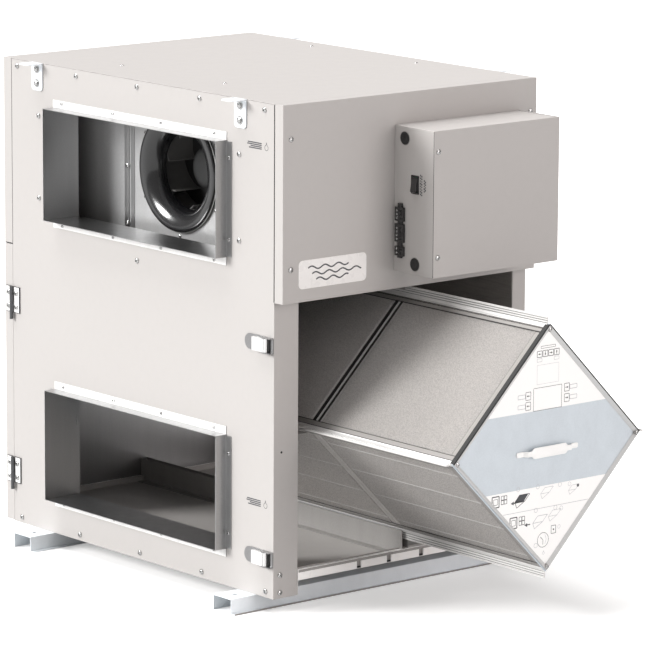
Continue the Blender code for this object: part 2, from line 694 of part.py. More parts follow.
def inlet_ring(side):
    seat = PLATE_AT + GAP
    front = THROAT_AT + BELL_DEPTH
    rim = [(RIM_RADIUS - 0.0015, front - 0.0015), (RIM_RADIUS, front - 0.005), (RIM_RADIUS, seat)]
    rim += [(RIM_RADIUS - BELL_WALL, seat), (RIM_RADIUS - BELL_WALL, front - BELL_WALL - 0.001)]
    outline = bell_curve(0) + rim + bell_curve(BELL_WALL)[::-1]
    ring = object_from(f"inlet_ring_{side}", turned_mesh(outline, 40), BLACK_PLASTIC)
    return smooth(place(ring, fan_frame(side)))


def blade_mesh():
    """Backward-curved blades that run from the disc into the shroud."""
    bm = bmesh.new()
    inner, outer, sweep, thick, steps = 0.088, 0.1385, math.radians(38), 0.0025, 5
    back = (DISC_FRONT + DISC_BACK) / 2
    slope = (SHROUD_BACK - SHROUD_FRONT) / (IMPELLER_RADIUS - SHROUD_EYE)
    for blade in range(IMPELLER_BLADES):
        start = 2 * math.pi * blade / IMPELLER_BLADES
        rows = []
        for i in range(steps + 1):
            share = i / steps
            radius = inner + (outer - inner) * share
            angle = start - sweep * share**1.2
            on_shroud = radius > SHROUD_EYE + 0.002
            front = SHROUD_FRONT - 0.0012 + slope * (radius - SHROUD_EYE) if on_shroud else 0.241
            turned = thick / 2 / radius
            row = []
            for a, z in ((-turned, back), (turned, back), (turned, front), (-turned, front)):
                row.append(bm.verts.new((radius * math.cos(angle + a), radius * math.sin(angle + a), z)))
            rows.append(row)
        bm.faces.new(rows[0])
        bm.faces.new(rows[-1][::-1])
        for low, high in zip(rows, rows[1:]):
            for i in range(4):
                j = (i + 1) % 4
                bm.faces.new((low[i], high[i], high[j], low[j]))
    return bm


def fan_impeller(side):
    """The rotor drum and its disc, the shroud and the blades, as one turning body."""
    frame = fan_frame(side)
    name = f"fan_impeller_{side}"
    drum, bore = 0.050, 0.0063
    hub = [(0, 0.210), (drum - 0.005, 0.210), (drum, 0.205), (drum, DISC_FRONT + 0.004)]
    hub += [(drum + 0.004, DISC_FRONT), (IMPELLER_RADIUS, DISC_FRONT), (IMPELLER_RADIUS, DISC_BACK)]
    hub += [(bore, DISC_BACK), (bore, 0.190), (0, 0.190)]
    impeller = object_from(name, turned_mesh(hub), BLACK_PLASTIC)
    shroud = [(SHROUD_EYE, SHROUD_FRONT), (IMPELLER_RADIUS, SHROUD_BACK)]
    shroud += [(IMPELLER_RADIUS, SHROUD_BACK - 0.0025), (SHROUD_EYE, SHROUD_FRONT - 0.0025)]
    joined(impeller, f"{name}_shroud", turned_mesh(shroud))
    joined(impeller, f"{name}_blades", blade_mesh())
    for helper in ("shroud", "blades"):
        bpy.data.objects[f"{name}_{helper}"].parent = impeller
    return smooth(place(impeller, frame))


def fan_motor(side):
    """The motor's fixed half on a cross of bars, with four posts that reach the bulkhead."""
    name = f"fan_motor_{side}"
    plate0, plate1, post_end = 0.107, 0.110, PLATE_AT - SKIN - GAP
    arm, half, post = 0.174, 0.018, 0.008
    walls = [box(-arm, arm, -half, half, plate0, plate1), box(-half, half, -arm, arm, plate0, plate1)]
    for s in (-1, 1):
        walls.append(box(s * arm, s * (arm - post), -post / 2, post / 2, plate0, post_end))
        walls.append(box(-post / 2, post / 2, s * arm, s * (arm - post), plate0, post_end))
    motor = object_from(name, box_mesh(walls), MOTOR_GREY)
    stator, shaft = 0.048, 0.006
    outline = [(0, 0.187), (shaft, 0.187), (shaft, 0.159), (stator, 0.159), (stator, 0.109), (0, 0.109)]
    joined(motor, f"{name}_stator", turned_mesh(outline))
    bpy.data.objects[f"{name}_stator"].parent = motor
    return place(motor, fan_frame(side))


# ---- core ------------------------------------------------------------------------------------
CAP = 0.004  # thickness of an end plate
PLATE_SUNK, PLATE_CORNER = 0.0022, 0.287
PROFILE_SHEET, PROFILE_LEG, FIN, FIN_TIP = 0.0016, 0.014, 0.003, 0.303
CORE_FRAME = Matrix.Translation((CORE_X, 0, CORE_Z)) @ Matrix.Rotation(math.radians(45), 4, "Y")


def core_block(name, y0, y1):
    """A stack of plates. Each gap is closed on two opposite sides, and the next gap on the other two."""
    half = CORE_SIDE / 2
    pitch = (y1 - y0 - CORE_PLATE) / (CORE_PLATES - 1)
    walls = []
    for i in range(CORE_PLATES):
        start = y0 + i * pitch
        walls.append(box(-half, half, start, start + CORE_PLATE, -half, half))
        if i == CORE_PLATES - 1:
            break
        for s in (-1, 1):
            edge = box(s * half, s * (half - CORE_PLATE), start, start + pitch, -half, half)
            if i % 2:
                edge = box(-half, half, start, start + pitch, s * half, s * (half - CORE_PLATE))
            walls.append(edge)
    return place(sheet_piece(name, ALUMINIUM, walls), CORE_FRAME)


def core_profile(name, quarter, y0, y1):
    """The extrusion over one long corner: an angle that wraps the blocks, with a fin for the guides."""
    inner = CORE_CORNER + GAP * math.sqrt(2)
    leg, lift, half_fin = PROFILE_LEG, PROFILE_SHEET / math.sqrt(2), FIN / 2
    right = [(leg, inner - leg), (leg + lift, inner - leg + lift)]
    right += [(half_fin, inner + 2 * lift - half_fin), (half_fin, FIN_TIP)]
    outline = [(0, inner)] + right + [(-px, py) for px, py in reversed(right)]
    profile = object_from(name, prism_mesh(outline, -y1, -y0), ALUMINIUM)
    about = Matrix.Rotation(quarter * math.pi / 2, 4, "Y")
    return place(profile, Matrix.Translation((CORE_X, 0, CORE_Z)) @ about @ UPRIGHT_XZ)


def core_end_plate(name, outer_y, inner_y):
    """The square cover on one end of the core: a raised rim round a flat sheet."""
    half, rim = PLATE_CORNER / math.sqrt(2), 0.009
    sunk_y = outer_y + math.copysign(PLATE_SUNK, inner_y - outer_y)
    whole = box(-half, half, outer_y, inner_y, -half, half)
    sunk = box(-half + rim, half - rim, outer_y, sunk_y, -half + rim, half - rim)
    return place(sheet_piece(name, ZINC, [whole], [sunk]), CORE_FRAME)


def core_handle(plate_y):
    """A strap handle: two pads on the end plate and a wider grip that stands clear of it."""
    half_length, half_grip, pad, strap = 0.0935, 0.048, 0.020, 0.0025
    stand_off, tall, low = 0.009, 0.0125, 0.0065
    z = 0.381
    near = plate_y - stand_off
    far = near - strap
    walls = [box(CORE_X - half_grip, CORE_X + half_grip, far, near, z - tall, z + tall)]
    for s in (-1, 1):
        x0, x1 = CORE_X + s * half_length, CORE_X + s * (half_length - pad)
        walls.append(box(x0, x1, plate_y - strap, plate_y, z - low, z + low))
        walls.append(box(x1, x1 - s * strap, far, plate_y, z - low, z + low))
        walls.append(box(x1, CORE_X + s * half_grip, far, near, z - low, z + low))
    return sheet_piece("core_handle", WHITE_PLASTIC, walls)


# ---- the whole unit ---------------------------------------------------------------------------
def build_cabinet():
    for side in SIDES:
        end_panel(side)
        end_liner(side)
        for level in PORT_BOTTOMS:
            duct_collar(side, level)
        for place_name, y in (("front", -HALF_WIDTH + 0.151), ("rear", -HALF_WIDTH + 0.930)):
            hanging_bracket(f"hanging_bracket_{side}_{place_name}", side, y)
    for make in (roof_panel, front_upper_panel, rear_upper_panel, base_pan, drain_pan):
        make()
    for make in (core_bottom_rail, deck_panel, fan_divider):
        make()
    for name, from_service in zip(("support_rail_front", "support_rail_rear"), FOOT_CENTRES):
        support_rail(name, -HALF_WIDTH + from_service)


def build_doors():
    rear_frame = Matrix.Translation(HINGE_AXIS)
    front_frame = HALF_TURN @ rear_frame
    door = rear_door()
    for level, z in HINGE_HEIGHTS.items():
        hinge_frame_half(f"rear_hinge_frame_{level}", z, rear_frame)
        hinge_frame_half(f"front_hinge_frame_{level}", z, front_frame)
        door.append(hinge_door_half(f"rear_hinge_door_{level}", z, rear_frame))
    hang(joint_point("rear_door_axis", HINGE_AXIS), *door)
    for place_name, turn in (("front", Matrix()), ("rear", HALF_TURN)):
        for level, z in LATCH_HEIGHTS.items():
            frame = turn @ Matrix.Translation(LATCH_AXIS + Vector((0, 0, z)))
            latch_plate(f"{place_name}_latch_plate_{level}", frame)
            latch_lever(f"{place_name}_latch_lever_{level}", frame)


def build_control_box():
    control_box_body()
    controller_board()
    field_connector()
    switch_rocker()
    hang(joint_point("cover_axis", COVER_AXIS), control_box_cover())


def build_fans():
    for side in SIDES:
        fan_bulkhead(side)
        inlet_ring(side)
        fan_impeller(side)
        fan_motor(side)


def build_core():
    rear = CORE_FRONT + CORE_LENGTH
    middle = (CORE_FRONT + rear) / 2
    y0, y1 = CORE_FRONT + CAP + GAP, rear - CAP - GAP
    pieces = [
        core_block("core_block_front", y0, middle - GAP),
        core_block("core_block_rear", middle + GAP, y1),
        core_end_plate("core_end_plate_front", CORE_FRONT, CORE_FRONT + CAP),
        core_end_plate("core_end_plate_rear", rear, rear - CAP),
        core_handle(CORE_FRONT + PLATE_SUNK - GAP),
    ]
    for quarter, corner in enumerate(("top", "right", "bottom", "left")):
        pieces.append(core_profile(f"core_profile_{corner}", quarter, y0, y1))
    hang(joint_point("core_slide", (CORE_X, CORE_FRONT, CORE_Z)), *pieces)


clear_scene()
build_cabinet()
build_doors()
build_control_box()
build_fans()
build_core()
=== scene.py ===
"""Looks for a cabinet heat recovery unit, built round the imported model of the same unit.

Metres, +Z up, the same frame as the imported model. The model gives every place that a piece needs,
and the sizes named here are the small ones that it leaves out: screws, seams, plates, stickers.
"""

import json
import math

import bmesh
import bpy
from mathutils import Matrix, Vector


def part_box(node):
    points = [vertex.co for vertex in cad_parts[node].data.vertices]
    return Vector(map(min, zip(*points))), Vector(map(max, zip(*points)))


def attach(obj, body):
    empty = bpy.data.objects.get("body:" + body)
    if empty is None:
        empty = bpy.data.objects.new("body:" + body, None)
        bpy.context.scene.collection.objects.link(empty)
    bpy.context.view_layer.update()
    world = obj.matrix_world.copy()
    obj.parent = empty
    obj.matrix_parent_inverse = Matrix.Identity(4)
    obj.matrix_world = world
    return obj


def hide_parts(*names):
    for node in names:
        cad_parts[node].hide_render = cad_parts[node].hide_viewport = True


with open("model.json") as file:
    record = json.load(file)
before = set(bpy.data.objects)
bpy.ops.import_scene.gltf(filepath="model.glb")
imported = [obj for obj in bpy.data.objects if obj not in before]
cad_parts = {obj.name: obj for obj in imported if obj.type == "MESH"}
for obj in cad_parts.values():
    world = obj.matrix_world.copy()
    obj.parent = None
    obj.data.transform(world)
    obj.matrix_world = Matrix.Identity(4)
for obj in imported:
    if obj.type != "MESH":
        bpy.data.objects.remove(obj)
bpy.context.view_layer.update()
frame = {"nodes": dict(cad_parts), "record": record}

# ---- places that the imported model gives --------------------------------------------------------
LEFT_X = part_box("end_panel_left")[0].x
RIGHT_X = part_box("end_panel_right")[1].x
WALL_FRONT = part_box("end_panel_left")[0].y
WALL_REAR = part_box("end_panel_left")[1].y
SERVICE_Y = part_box("front_upper_panel")[0].y
BACK_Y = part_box("rear_upper_panel")[1].y
TOP_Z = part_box("roof_panel")[1].z
DECK_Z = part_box("front_upper_panel")[0].z
FLOOR_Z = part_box("support_rail_front")[0].z
CORE_LOW, CORE_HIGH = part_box("core_end_plate_front")
CORE_X = (CORE_LOW.x + CORE_HIGH.x) / 2
CORE_Z = (CORE_LOW.z + CORE_HIGH.z) / 2
CORE_FRONT = CORE_LOW.y
CORE_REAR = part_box("core_end_plate_rear")[1].y
CORE_CAP = CORE_HIGH.y - CORE_LOW.y
COVER_LOW, COVER_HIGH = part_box("control_box_cover")
BOX_X0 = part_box("control_box_body")[0].x
FAN_LOW, FAN_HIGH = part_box("inlet_ring_left")
FAN_Y = (FAN_LOW.y + FAN_HIGH.y) / 2
FAN_Z = (FAN_LOW.z + FAN_HIGH.z) / 2
LEFT, RIGHT, FRONT, BACK, UP = (Vector(v) for v in ((-1, 0, 0), (1, 0, 0), (0, -1, 0), (0, 1, 0), (0, 0, 1)))


# ---- materials ---------------------------------------------------------------------------------
class Finish:
    """A node material, with the record's slot that its pieces belong to."""

    def __init__(self, name, slot, color, roughness, metallic=0.0):
        self.slot = slot
        self.material = bpy.data.materials.new(name)
        self.material.use_nodes = True
        self.nodes = self.material.node_tree.nodes
        self.links = self.material.node_tree.links
        self.shader = self.nodes["Principled BSDF"]
        self.place = self.add("ShaderNodeTexCoord").outputs["Object"]
        self.color = self.rgb(color)
        self.roughness = self.value(roughness)
        self.shader.inputs["Metallic"].default_value = metallic
        self.bump = None

    def add(self, kind, **inputs):
        node = self.nodes.new(kind)
        for key, value in inputs.items():
            self.put(node.inputs[key.replace("_", " ")], value)
        return node

    def put(self, socket, value):
        if isinstance(value, bpy.types.NodeSocket):
            self.links.new(value, socket)
        else:
            socket.default_value = value

    def rgb(self, color):
        node = self.nodes.new("ShaderNodeRGB")
        node.outputs[0].default_value = (*color, 1.0)
        return node.outputs[0]

    def value(self, number):
        node = self.nodes.new("ShaderNodeValue")
        node.outputs[0].default_value = number
        return node.outputs[0]

    def stretched(self, scale):
        """Object coordinates scaled by axis, which draws a texture out along the small ones."""
        return self.add("ShaderNodeMapping", Vector=self.place, Scale=scale).outputs[0]

    def noise(self, scale, detail=2.0, where=None, distortion=0.0):
        node = self.add("ShaderNodeTexNoise", Vector=where or self.place, Scale=scale, Detail=detail)
        node.inputs["Distortion"].default_value = distortion
        return node.outputs["Fac"]

    def cells(self, scale, where=None):
        node = self.add("ShaderNodeTexVoronoi", Vector=where or self.place, Scale=scale)
        return self.add("ShaderNodeSeparateColor", Color=node.outputs["Color"]).outputs[0]

    def ramp(self, factor, low, high, from_low=0.0, from_high=1.0):
        node = self.add("ShaderNodeMapRange", Value=factor)
        for key, number in (("From Min", from_low), ("From Max", from_high), ("To Min", low), ("To Max", high)):
            node.inputs[key].default_value = number
        return node.outputs[0]

    def tint(self, factor, color):
        """Mixes color into the base colour by factor."""
        node = self.nodes.new("ShaderNodeMix")
        node.data_type = "RGBA"
        self.put(node.inputs["Factor"], factor)
        self.put(node.inputs[6], self.color)
        self.put(node.inputs[7], (*color, 1.0))
        self.color = node.outputs[2]

    def roughen(self, factor, amount):
        """Adds amount to the roughness where factor is 1, and takes it away where factor is 0."""
        node = self.nodes.new("ShaderNodeMath")
        self.put(node.inputs[0], self.roughness)
        self.put(node.inputs[1], self.ramp(factor, -amount, amount))
        self.roughness = node.outputs[0]

    def raise_by(self, height, distance, strength=1.0):
        node = self.add("ShaderNodeBump", Height=height, Distance=distance, Strength=strength)
        if self.bump is not None:
            self.put(node.inputs["Normal"], self.bump)
        self.bump = node.outputs[0]

    def worn_and_highlit_edges(self, color, radius=0.0012, amount=0.6):
        """Lightens the outer edges: wear where a coating is thin and hands rub, and a painted highlight along each
        edge.
        """
        rounded = self.add("ShaderNodeBevel", Radius=radius)
        rounded.samples = 4
        flat = self.add("ShaderNodeNewGeometry")
        node = self.nodes.new("ShaderNodeVectorMath")
        node.operation = "DOT_PRODUCT"
        self.put(node.inputs[0], rounded.outputs[0])
        self.put(node.inputs[1], flat.outputs["Normal"])
        self.tint(self.ramp(node.outputs["Value"], amount, 0.0, 0.75, 0.98), color)

    def done(self):
        self.put(self.shader.inputs["Base Color"], self.color)
        self.put(self.shader.inputs["Roughness"], self.roughness)
        if self.bump is not None:
            self.put(self.shader.inputs["Normal"], self.bump)
        return self


def painted_sheet(name, color, slot="painted_sheet", roughness=0.42):
    """Powder coat: a fine orange-peel skin, faint clouding, and lighter edges that are part wear and part painted
    highlight.
    """
    made = Finish(name, slot, color, roughness)
    made.tint(made.ramp(made.noise(1.7), 0.0, 0.10), [c * 0.90 for c in color])
    made.tint(made.ramp(made.noise(60.0, 4.0), 0.0, 0.06, 0.45, 0.7), [c * 0.80 for c in color])
    made.roughen(made.noise(35.0, 3.0), 0.06)
    made.raise_by(made.noise(330.0, 1.0), 0.00022, 0.35)
    made.raise_by(made.noise(2.2, 1.0), 0.0012, 0.25)
    made.worn_and_highlit_edges([min(1.0, c * 1.12) for c in color], amount=0.5)
    return made.done()


def zinc_sheet(name, slot, color, roughness=0.30, metallic=1.0, grain=0.16, drawn=3.0):
    """Bright zinc-coated sheet: soft mill streaks, small crystals and a few dull patches."""
    made = Finish(name, slot, color, roughness, metallic)
    streaks = made.noise(1.0, 3.0, made.stretched((38.0, 38.0, drawn)))
    made.tint(made.ramp(streaks, 0.0, grain * 1.6, 0.35, 0.68), [c * 0.72 for c in color])
    made.roughen(streaks, 0.05)
    crystals = made.noise(320.0, 2.0)
    made.tint(made.ramp(crystals, 0.0, grain, 0.40, 0.62), [min(1.0, c * 1.28) for c in color])
    made.tint(made.ramp(made.noise(9.0, 5.0), 0.0, grain, 0.45, 0.8), [c * 0.80 for c in color])
    made.raise_by(crystals, 0.00003, 0.25)
    made.raise_by(made.noise(3.0, 1.0), 0.0010, 0.25)
    return made.done()


def brushed(name, slot, color, roughness=0.34, metallic=0.95, along="Y", streak=0.35, grain=0.0):
    """Rolled or extruded aluminium, with fine lines along one axis."""
    made = Finish(name, slot, color, roughness, metallic)
    lengths = {"X": (3.0, 700.0, 700.0), "Y": (700.0, 3.0, 700.0), "Z": (700.0, 700.0, 3.0)}
    lines = made.noise(1.0, 3.0, made.stretched(lengths[along]))
    made.tint(made.ramp(lines, 0.0, streak, 0.35, 0.65), [c * 0.70 for c in color])
    made.roughen(lines, 0.10)
    made.tint(made.ramp(made.noise(6.0, 4.0), 0.0, 0.20, 0.4, 0.75), [c * 0.84 for c in color])
    made.tint(made.ramp(made.noise(460.0, 1.0), 0.0, grain, 0.42, 0.60), [c * 0.45 for c in color])
    made.raise_by(lines, 0.00004, 0.5)
    # lighter edges: part wear, part painted highlight
    made.worn_and_highlit_edges([min(1.0, c * 1.15) for c in color], 0.0006, 0.4)
    return made.done()


def moulded(name, slot, color, roughness, grain=420.0, depth=0.00006, coat=0.0, dust=0.02):
    """Moulded plastic or rubber, with a fine skin, light scuffs and a little dust."""
    made = Finish(name, slot, color, roughness)
    made.tint(made.ramp(made.noise(14.0, 4.0), 0.0, 0.30, 0.4, 0.8), [c * 0.7 + dust * 0.6 for c in color])
    made.tint(made.ramp(made.noise(160.0, 3.0), 0.0, 0.16, 0.55, 0.75), [min(1.0, c * 1.3 + dust) for c in color])
    made.roughen(made.noise(28.0, 4.0), 0.09)
    made.raise_by(made.noise(grain, 2.0), depth, 0.6)
    made.shader.inputs["Coat Weight"].default_value = coat
    made.shader.inputs["Coat Roughness"].default_value = 0.12
    # lighter edges: part wear and dust, part painted highlight
    made.worn_and_highlit_edges([min(1.0, (c + dust) * 1.5) for c in color], 0.0006, 0.35)
    return made.done()


def vinyl(name, slot, color, roughness=0.34):
    """Printed film: almost even, with faint ripples from how it was laid."""
    made = Finish(name, slot, color, roughness)
    made.tint(made.ramp(made.noise(22.0, 3.0), 0.0, 0.10), [c * 0.90 for c in color])
    made.roughen(made.noise(70.0, 2.0), 0.05)
    made.raise_by(made.noise(26.0, 2.0), 0.00030, 0.15)
    made.raise_by(made.noise(800.0, 1.0), 0.00003, 0.3)
    return made.done()


def board_resin():
    """Green solder mask with copper tracks under it."""
    made = Finish("board_resin", "circuit_board", (0.020, 0.130, 0.055), 0.32)
    track = made.cells(140.0, made.stretched((1.0, 0.05, 1.0)))
    made.tint(made.ramp(track, 0.0, 0.65, 0.55, 0.62), (0.040, 0.230, 0.090))
    made.tint(made.ramp(made.noise(300.0, 1.0), 0.0, 0.5, 0.66, 0.72), (0.55, 0.50, 0.25))
    made.raise_by(track, 0.00005, 0.5)
    made.roughen(made.noise(90.0, 2.0), 0.08)
    return made.done()


def liner_painted_shade():
    """The liners of the core's chamber in a dark grey that is painted shade, with faint streaks and specks."""
    made = Finish("liner_painted_shade", "galvanised_sheet", (0.400, 0.382, 0.368), 0.62, 0.10)
    lines = made.noise(1.0, 4.0, made.stretched((60.0, 14.0, 260.0)))
    made.tint(made.ramp(lines, 0.0, 0.6, 0.35, 0.7), (0.280, 0.266, 0.256))
    made.tint(made.ramp(made.noise(240.0, 2.0), 0.0, 0.4, 0.5, 0.75), (0.48, 0.46, 0.44))
    made.raise_by(lines, 0.0003, 0.4)
    made.roughen(made.noise(50.0, 3.0), 0.10)
    return made.done()


PAINT = painted_sheet("warm_grey_paint", (0.446, 0.425, 0.412))
WHITE_PAINT = painted_sheet("white_paint", (0.985, 0.968, 0.950), roughness=0.30)
ZINC = zinc_sheet("rolled_zinc_sheet", "galvanised_sheet", (0.430, 0.430, 0.432), 0.30)
PLATE_ZINC = zinc_sheet("pale_zinc_plate", "galvanised_sheet", (0.600, 0.652, 0.695), 0.45, 0.30, 0.10, 24.0)
# near-white, almost non-metallic zinc: a painted reflection of the pale floor on the rails and hanging brackets
RAIL_ZINC_PAINTED_SHEEN = zinc_sheet("zinc_rail_painted_reflection", "galvanised_sheet", (0.860, 0.905, 0.940), 0.36, 0.20, 0.10, 24.0)
DECK_ZINC = zinc_sheet("dull_zinc_deck", "galvanised_sheet", (0.300, 0.288, 0.278), 0.45, 0.30)
BRACKET_ZINC = zinc_sheet("plated_fitting", "zinc_fittings", (0.300, 0.298, 0.300), 0.30, 0.85)
HINGE_ZINC = zinc_sheet("dark_hinge", "zinc_fittings", (0.120, 0.122, 0.126), 0.30, 0.85)
SCREW_ZINC = zinc_sheet("plated_screw", "zinc_fittings", (0.560, 0.560, 0.555), 0.26)
# a bright, almost non-metallic copy of zinc: painted light on collar flanges and hinge leaves
LIT_ZINC_PAINT = zinc_sheet("painted_lit_zinc", "galvanised_sheet", (0.860, 0.852, 0.842), 0.36, 0.15, 0.25, 24.0)
BULKHEAD_ZINC = zinc_sheet("bulkhead_zinc", "galvanised_sheet", (0.560, 0.560, 0.562), 0.34, 0.60)
# dark grey liners: painted shade inside the core's chamber
LINER_SHADE = liner_painted_shade()
CELL_METAL = brushed("core_plate_metal", "core_aluminium", (0.690, 0.664, 0.644), 0.46, 0.35, "Z", 0.2, 0.45)
PROFILE_METAL = brushed("extruded_profile", "core_aluminium", (0.720, 0.708, 0.696), 0.34, 0.30)
SHADED_GAP_METAL = brushed("shaded_plate_metal", "core_aluminium", (0.330, 0.318, 0.308), 0.60, 0.10, "Z", 0.2)
RIM_METAL = brushed("folded_rim", "core_aluminium", (0.640, 0.640, 0.640), 0.40, 0.20)
FRAME_METAL = brushed("core_frame_metal", "core_aluminium", (0.330, 0.315, 0.302), 0.42, 0.35, "Y", 0.2)
LEVER_METAL = brushed("polished_lever", "polished_lever", (0.900, 0.900, 0.895), 0.24, 0.85, "Z", 0.15)
PAN = painted_sheet("drain_pan_coat", (0.420, 0.400, 0.385), "pan_sheet")
BLACK = moulded("gloss_black_plastic", "black_plastic", (0.010, 0.010, 0.011), 0.20, 380.0, 0.00004, 0.6)
HUB = moulded("matt_black_hub", "black_plastic", (0.014, 0.014, 0.014), 0.60, 300.0, 0.00006)
# black plastic blades drawn mid-grey: painted light on their lit faces
LIT_GREY_BLADE = moulded("grey_blade_painted_light", "black_plastic", (0.150, 0.146, 0.142), 0.42, 300.0, 0.00006)
# pale plastic for the rods in the core's faces, and for the painted highlight round each fan bell's rim
PALE_SEAL_AND_HIGHLIGHT = moulded("pale_seal_and_highlight", "black_plastic", (0.700, 0.695, 0.680), 0.30)
RUBBER = moulded("black_rubber", "black_plastic", (0.011, 0.011, 0.011), 0.62, 600.0, 0.0001, dust=0.006)
WHITE = moulded("white_plastic", "white_plastic", (0.840, 0.835, 0.815), 0.36)
STRAP = moulded("white_strap", "white_plastic", (0.930, 0.928, 0.915), 0.34)
CASTING = moulded("motor_casting", "motor_casting", (0.200, 0.205, 0.215), 0.46, 260.0, 0.0002)
BOARD = board_resin()
STICKER = vinyl("sticker_film", "white_plastic", (0.975, 0.972, 0.960))
BADGE_FILM = vinyl("badge_film", "white_plastic", (0.800, 0.780, 0.765), 0.28)
INK = vinyl("printed_ink", "black_plastic", (0.060, 0.062, 0.068), 0.45)
FAINT_INK = vinyl("faint_ink", "white_plastic", (0.520, 0.530, 0.550), 0.45)
BY_SLOT = {
    "painted_sheet": PAINT, "galvanised_sheet": ZINC, "pan_sheet": PAN, "zinc_fittings": BRACKET_ZINC,
    "polished_lever": LEVER_METAL, "core_aluminium": PROFILE_METAL, "white_plastic": WHITE,
    "black_plastic": BLACK, "circuit_board": BOARD, "motor_casting": CASTING,
}
BY_NAME = {
    "end_liner": LINER_SHADE, "base_pan": WHITE_PAINT, "core_end_plate": PLATE_ZINC, "support_rail": RAIL_ZINC_PAINTED_SHEEN,
    "hanging_bracket": RAIL_ZINC_PAINTED_SHEEN, "fan_bulkhead": BULKHEAD_ZINC,
    "rear_hinge": HINGE_ZINC, "front_hinge": HINGE_ZINC, "core_bottom_rail": DECK_ZINC, "deck_panel": DECK_ZINC,
}


# ---- mesh tools --------------------------------------------------------------------------------
def piece(name, bm, finish, body, smooth=None, bevel=0.0):
    """An object of the shape in bm, with its finish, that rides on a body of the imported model."""
    mesh = as_mesh(bm, name)
    mesh.materials.append(finish.material)
    if smooth is not None:
        mesh.shade_smooth()
        mesh.set_sharp_from_angle(angle=math.radians(smooth))
    made = bpy.data.objects.new(name, mesh)
    bpy.context.scene.collection.objects.link(made)
    if bevel:
        round_edges(made, bevel)
    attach(made, body)
    return made


def round_edges(obj, width, segments=2):
    modifier = obj.modifiers.new("edge_round", "BEVEL")
    modifier.width = width
    modifier.segments = segments
    modifier.limit_method = "ANGLE"
    modifier.angle_limit = math.radians(40)
    modifier.use_clamp_overlap = True


def add_box(bm, low, high):
    size = [abs(b - a) for a, b in zip(low, high)]
    middle = [(a + b) / 2 for a, b in zip(low, high)]
    bmesh.ops.create_cube(bm, size=1.0, matrix=Matrix.Translation(middle) @ Matrix.Diagonal((*size, 1.0)))


def add_prism(bm, outline, push):
    """A closed outline of 3-D points, pushed along a vector."""
    near = [bm.verts.new(p) for p in outline]
    far = [bm.verts.new(Vector(p) + Vector(push)) for p in outline]
    bm.faces.new(near)
    bm.faces.new(far[::-1])
    for i in range(len(outline)):
        j = (i + 1) % len(outline)
        bm.faces.new((near[j], near[i], far[i], far[j]))


def add_turned(bm, outline, matrix, steps=48):
    """(radius, height) points turned about the matrix's Z axis. Radius 0 closes an end."""
    rings = []
    for radius, height in outline:
        count = 1 if radius == 0 else steps
        angles = [2 * math.pi * i / steps for i in range(count)]
        ring = [bm.verts.new(matrix @ Vector((radius * math.cos(a), radius * math.sin(a), height))) for a in angles]
        rings.append(ring)
    pairs = zip(rings, rings[1:] + (rings[:1] if outline[0][0] else []))
    for first, second in pairs:
        for i in range(steps):
            j = (i + 1) % steps
            corners = [first[i % len(first)], first[j % len(first)], second[j % len(second)], second[i % len(second)]]
            bm.faces.new(list(dict.fromkeys(corners)))


def add_rings(bm, rings, looped=False):
    """A skin through rings of points, closed by a face at each end, or joined end to end."""
    loops = [[bm.verts.new(point) for point in ring] for ring in rings]
    for first, second in zip(loops, loops[1:] + (loops[:1] if looped else [])):
        for k in range(len(first)):
            j = (k + 1) % len(first)
            bm.faces.new((first[k], first[j], second[j], second[k]))
    if not looped:
        bm.faces.new(loops[0][::-1])
        bm.faces.new(loops[-1])


def add_tube(bm, path, radius, steps=10):
    """A round wire along a smooth path through the given points."""
    points = []
    for i in range(len(path) - 1):
        before, start, end, after = (Vector(path[max(0, min(len(path) - 1, k))]) for k in (i - 1, i, i + 1, i + 2))
        for step in range(8):
            t = step / 8
            points.append(0.5 * (2 * start + (end - before) * t + (2 * before - 5 * start + 4 * end - after) * t * t
                                 + (3 * start - before - 3 * end + after) * t**3))
    points.append(Vector(path[-1]))
    rings, side = [], None
    for i, point in enumerate(points):
        ahead = (points[min(i + 1, len(points) - 1)] - points[max(i - 1, 0)]).normalized()
        side = ahead.orthogonal() if side is None else side - ahead * side.dot(ahead)
        side.normalize()
        other = ahead.cross(side)
        turns = [2 * math.pi * k / steps for k in range(steps)]
        rings.append([point + radius * (math.cos(a) * side + math.sin(a) * other) for a in turns])
    add_rings(bm, rings)


def rounded(half_x, half_y, radius, steps=5):
    """The (x, y) outline of a rectangle with round corners."""
    points = []
    for quarter, (sx, sy) in enumerate(((1, 1), (-1, 1), (-1, -1), (1, -1))):
        for i in range(steps + 1):
            a = math.pi / 2 * (quarter + i / steps)
            points.append((sx * (half_x - radius) + radius * math.cos(a), sy * (half_y - radius) + radius * math.sin(a)))
    return points


def facing(point, normal, up=UP):
    """A frame at point whose Z is normal, and whose Y is as near to up as it gets."""
    z = Vector(normal).normalized()
    up = Vector(up) if abs(z.dot(up)) < 0.99 else BACK
    y = (up - z * z.dot(up)).normalized()
    x = y.cross(z)
    turn = Matrix((x, y, z)).transposed().to_4x4()
    return Matrix.Translation(point) @ turn


def add_plate(bm, matrix, outline, thickness, start=0.0):
    """A flat plate of an (x, y) outline on the frame's XY plane, from height start."""
    low = [matrix @ Vector((x, y, start)) for x, y in outline]
    add_prism(bm, low, matrix.to_3x3() @ Vector((0, 0, thickness)))


def stamp(bm, mesh, matrix):
    start = len(bm.verts)
    bm.from_mesh(mesh)
    bm.verts.ensure_lookup_table()
    bmesh.ops.transform(bm, matrix=matrix, verts=bm.verts[start:])


def as_mesh(bm, name):
    bmesh.ops.recalc_face_normals(bm, faces=bm.faces)
    mesh = bpy.data.meshes.new(name)
    bm.to_mesh(mesh)
    bm.free()
    return mesh


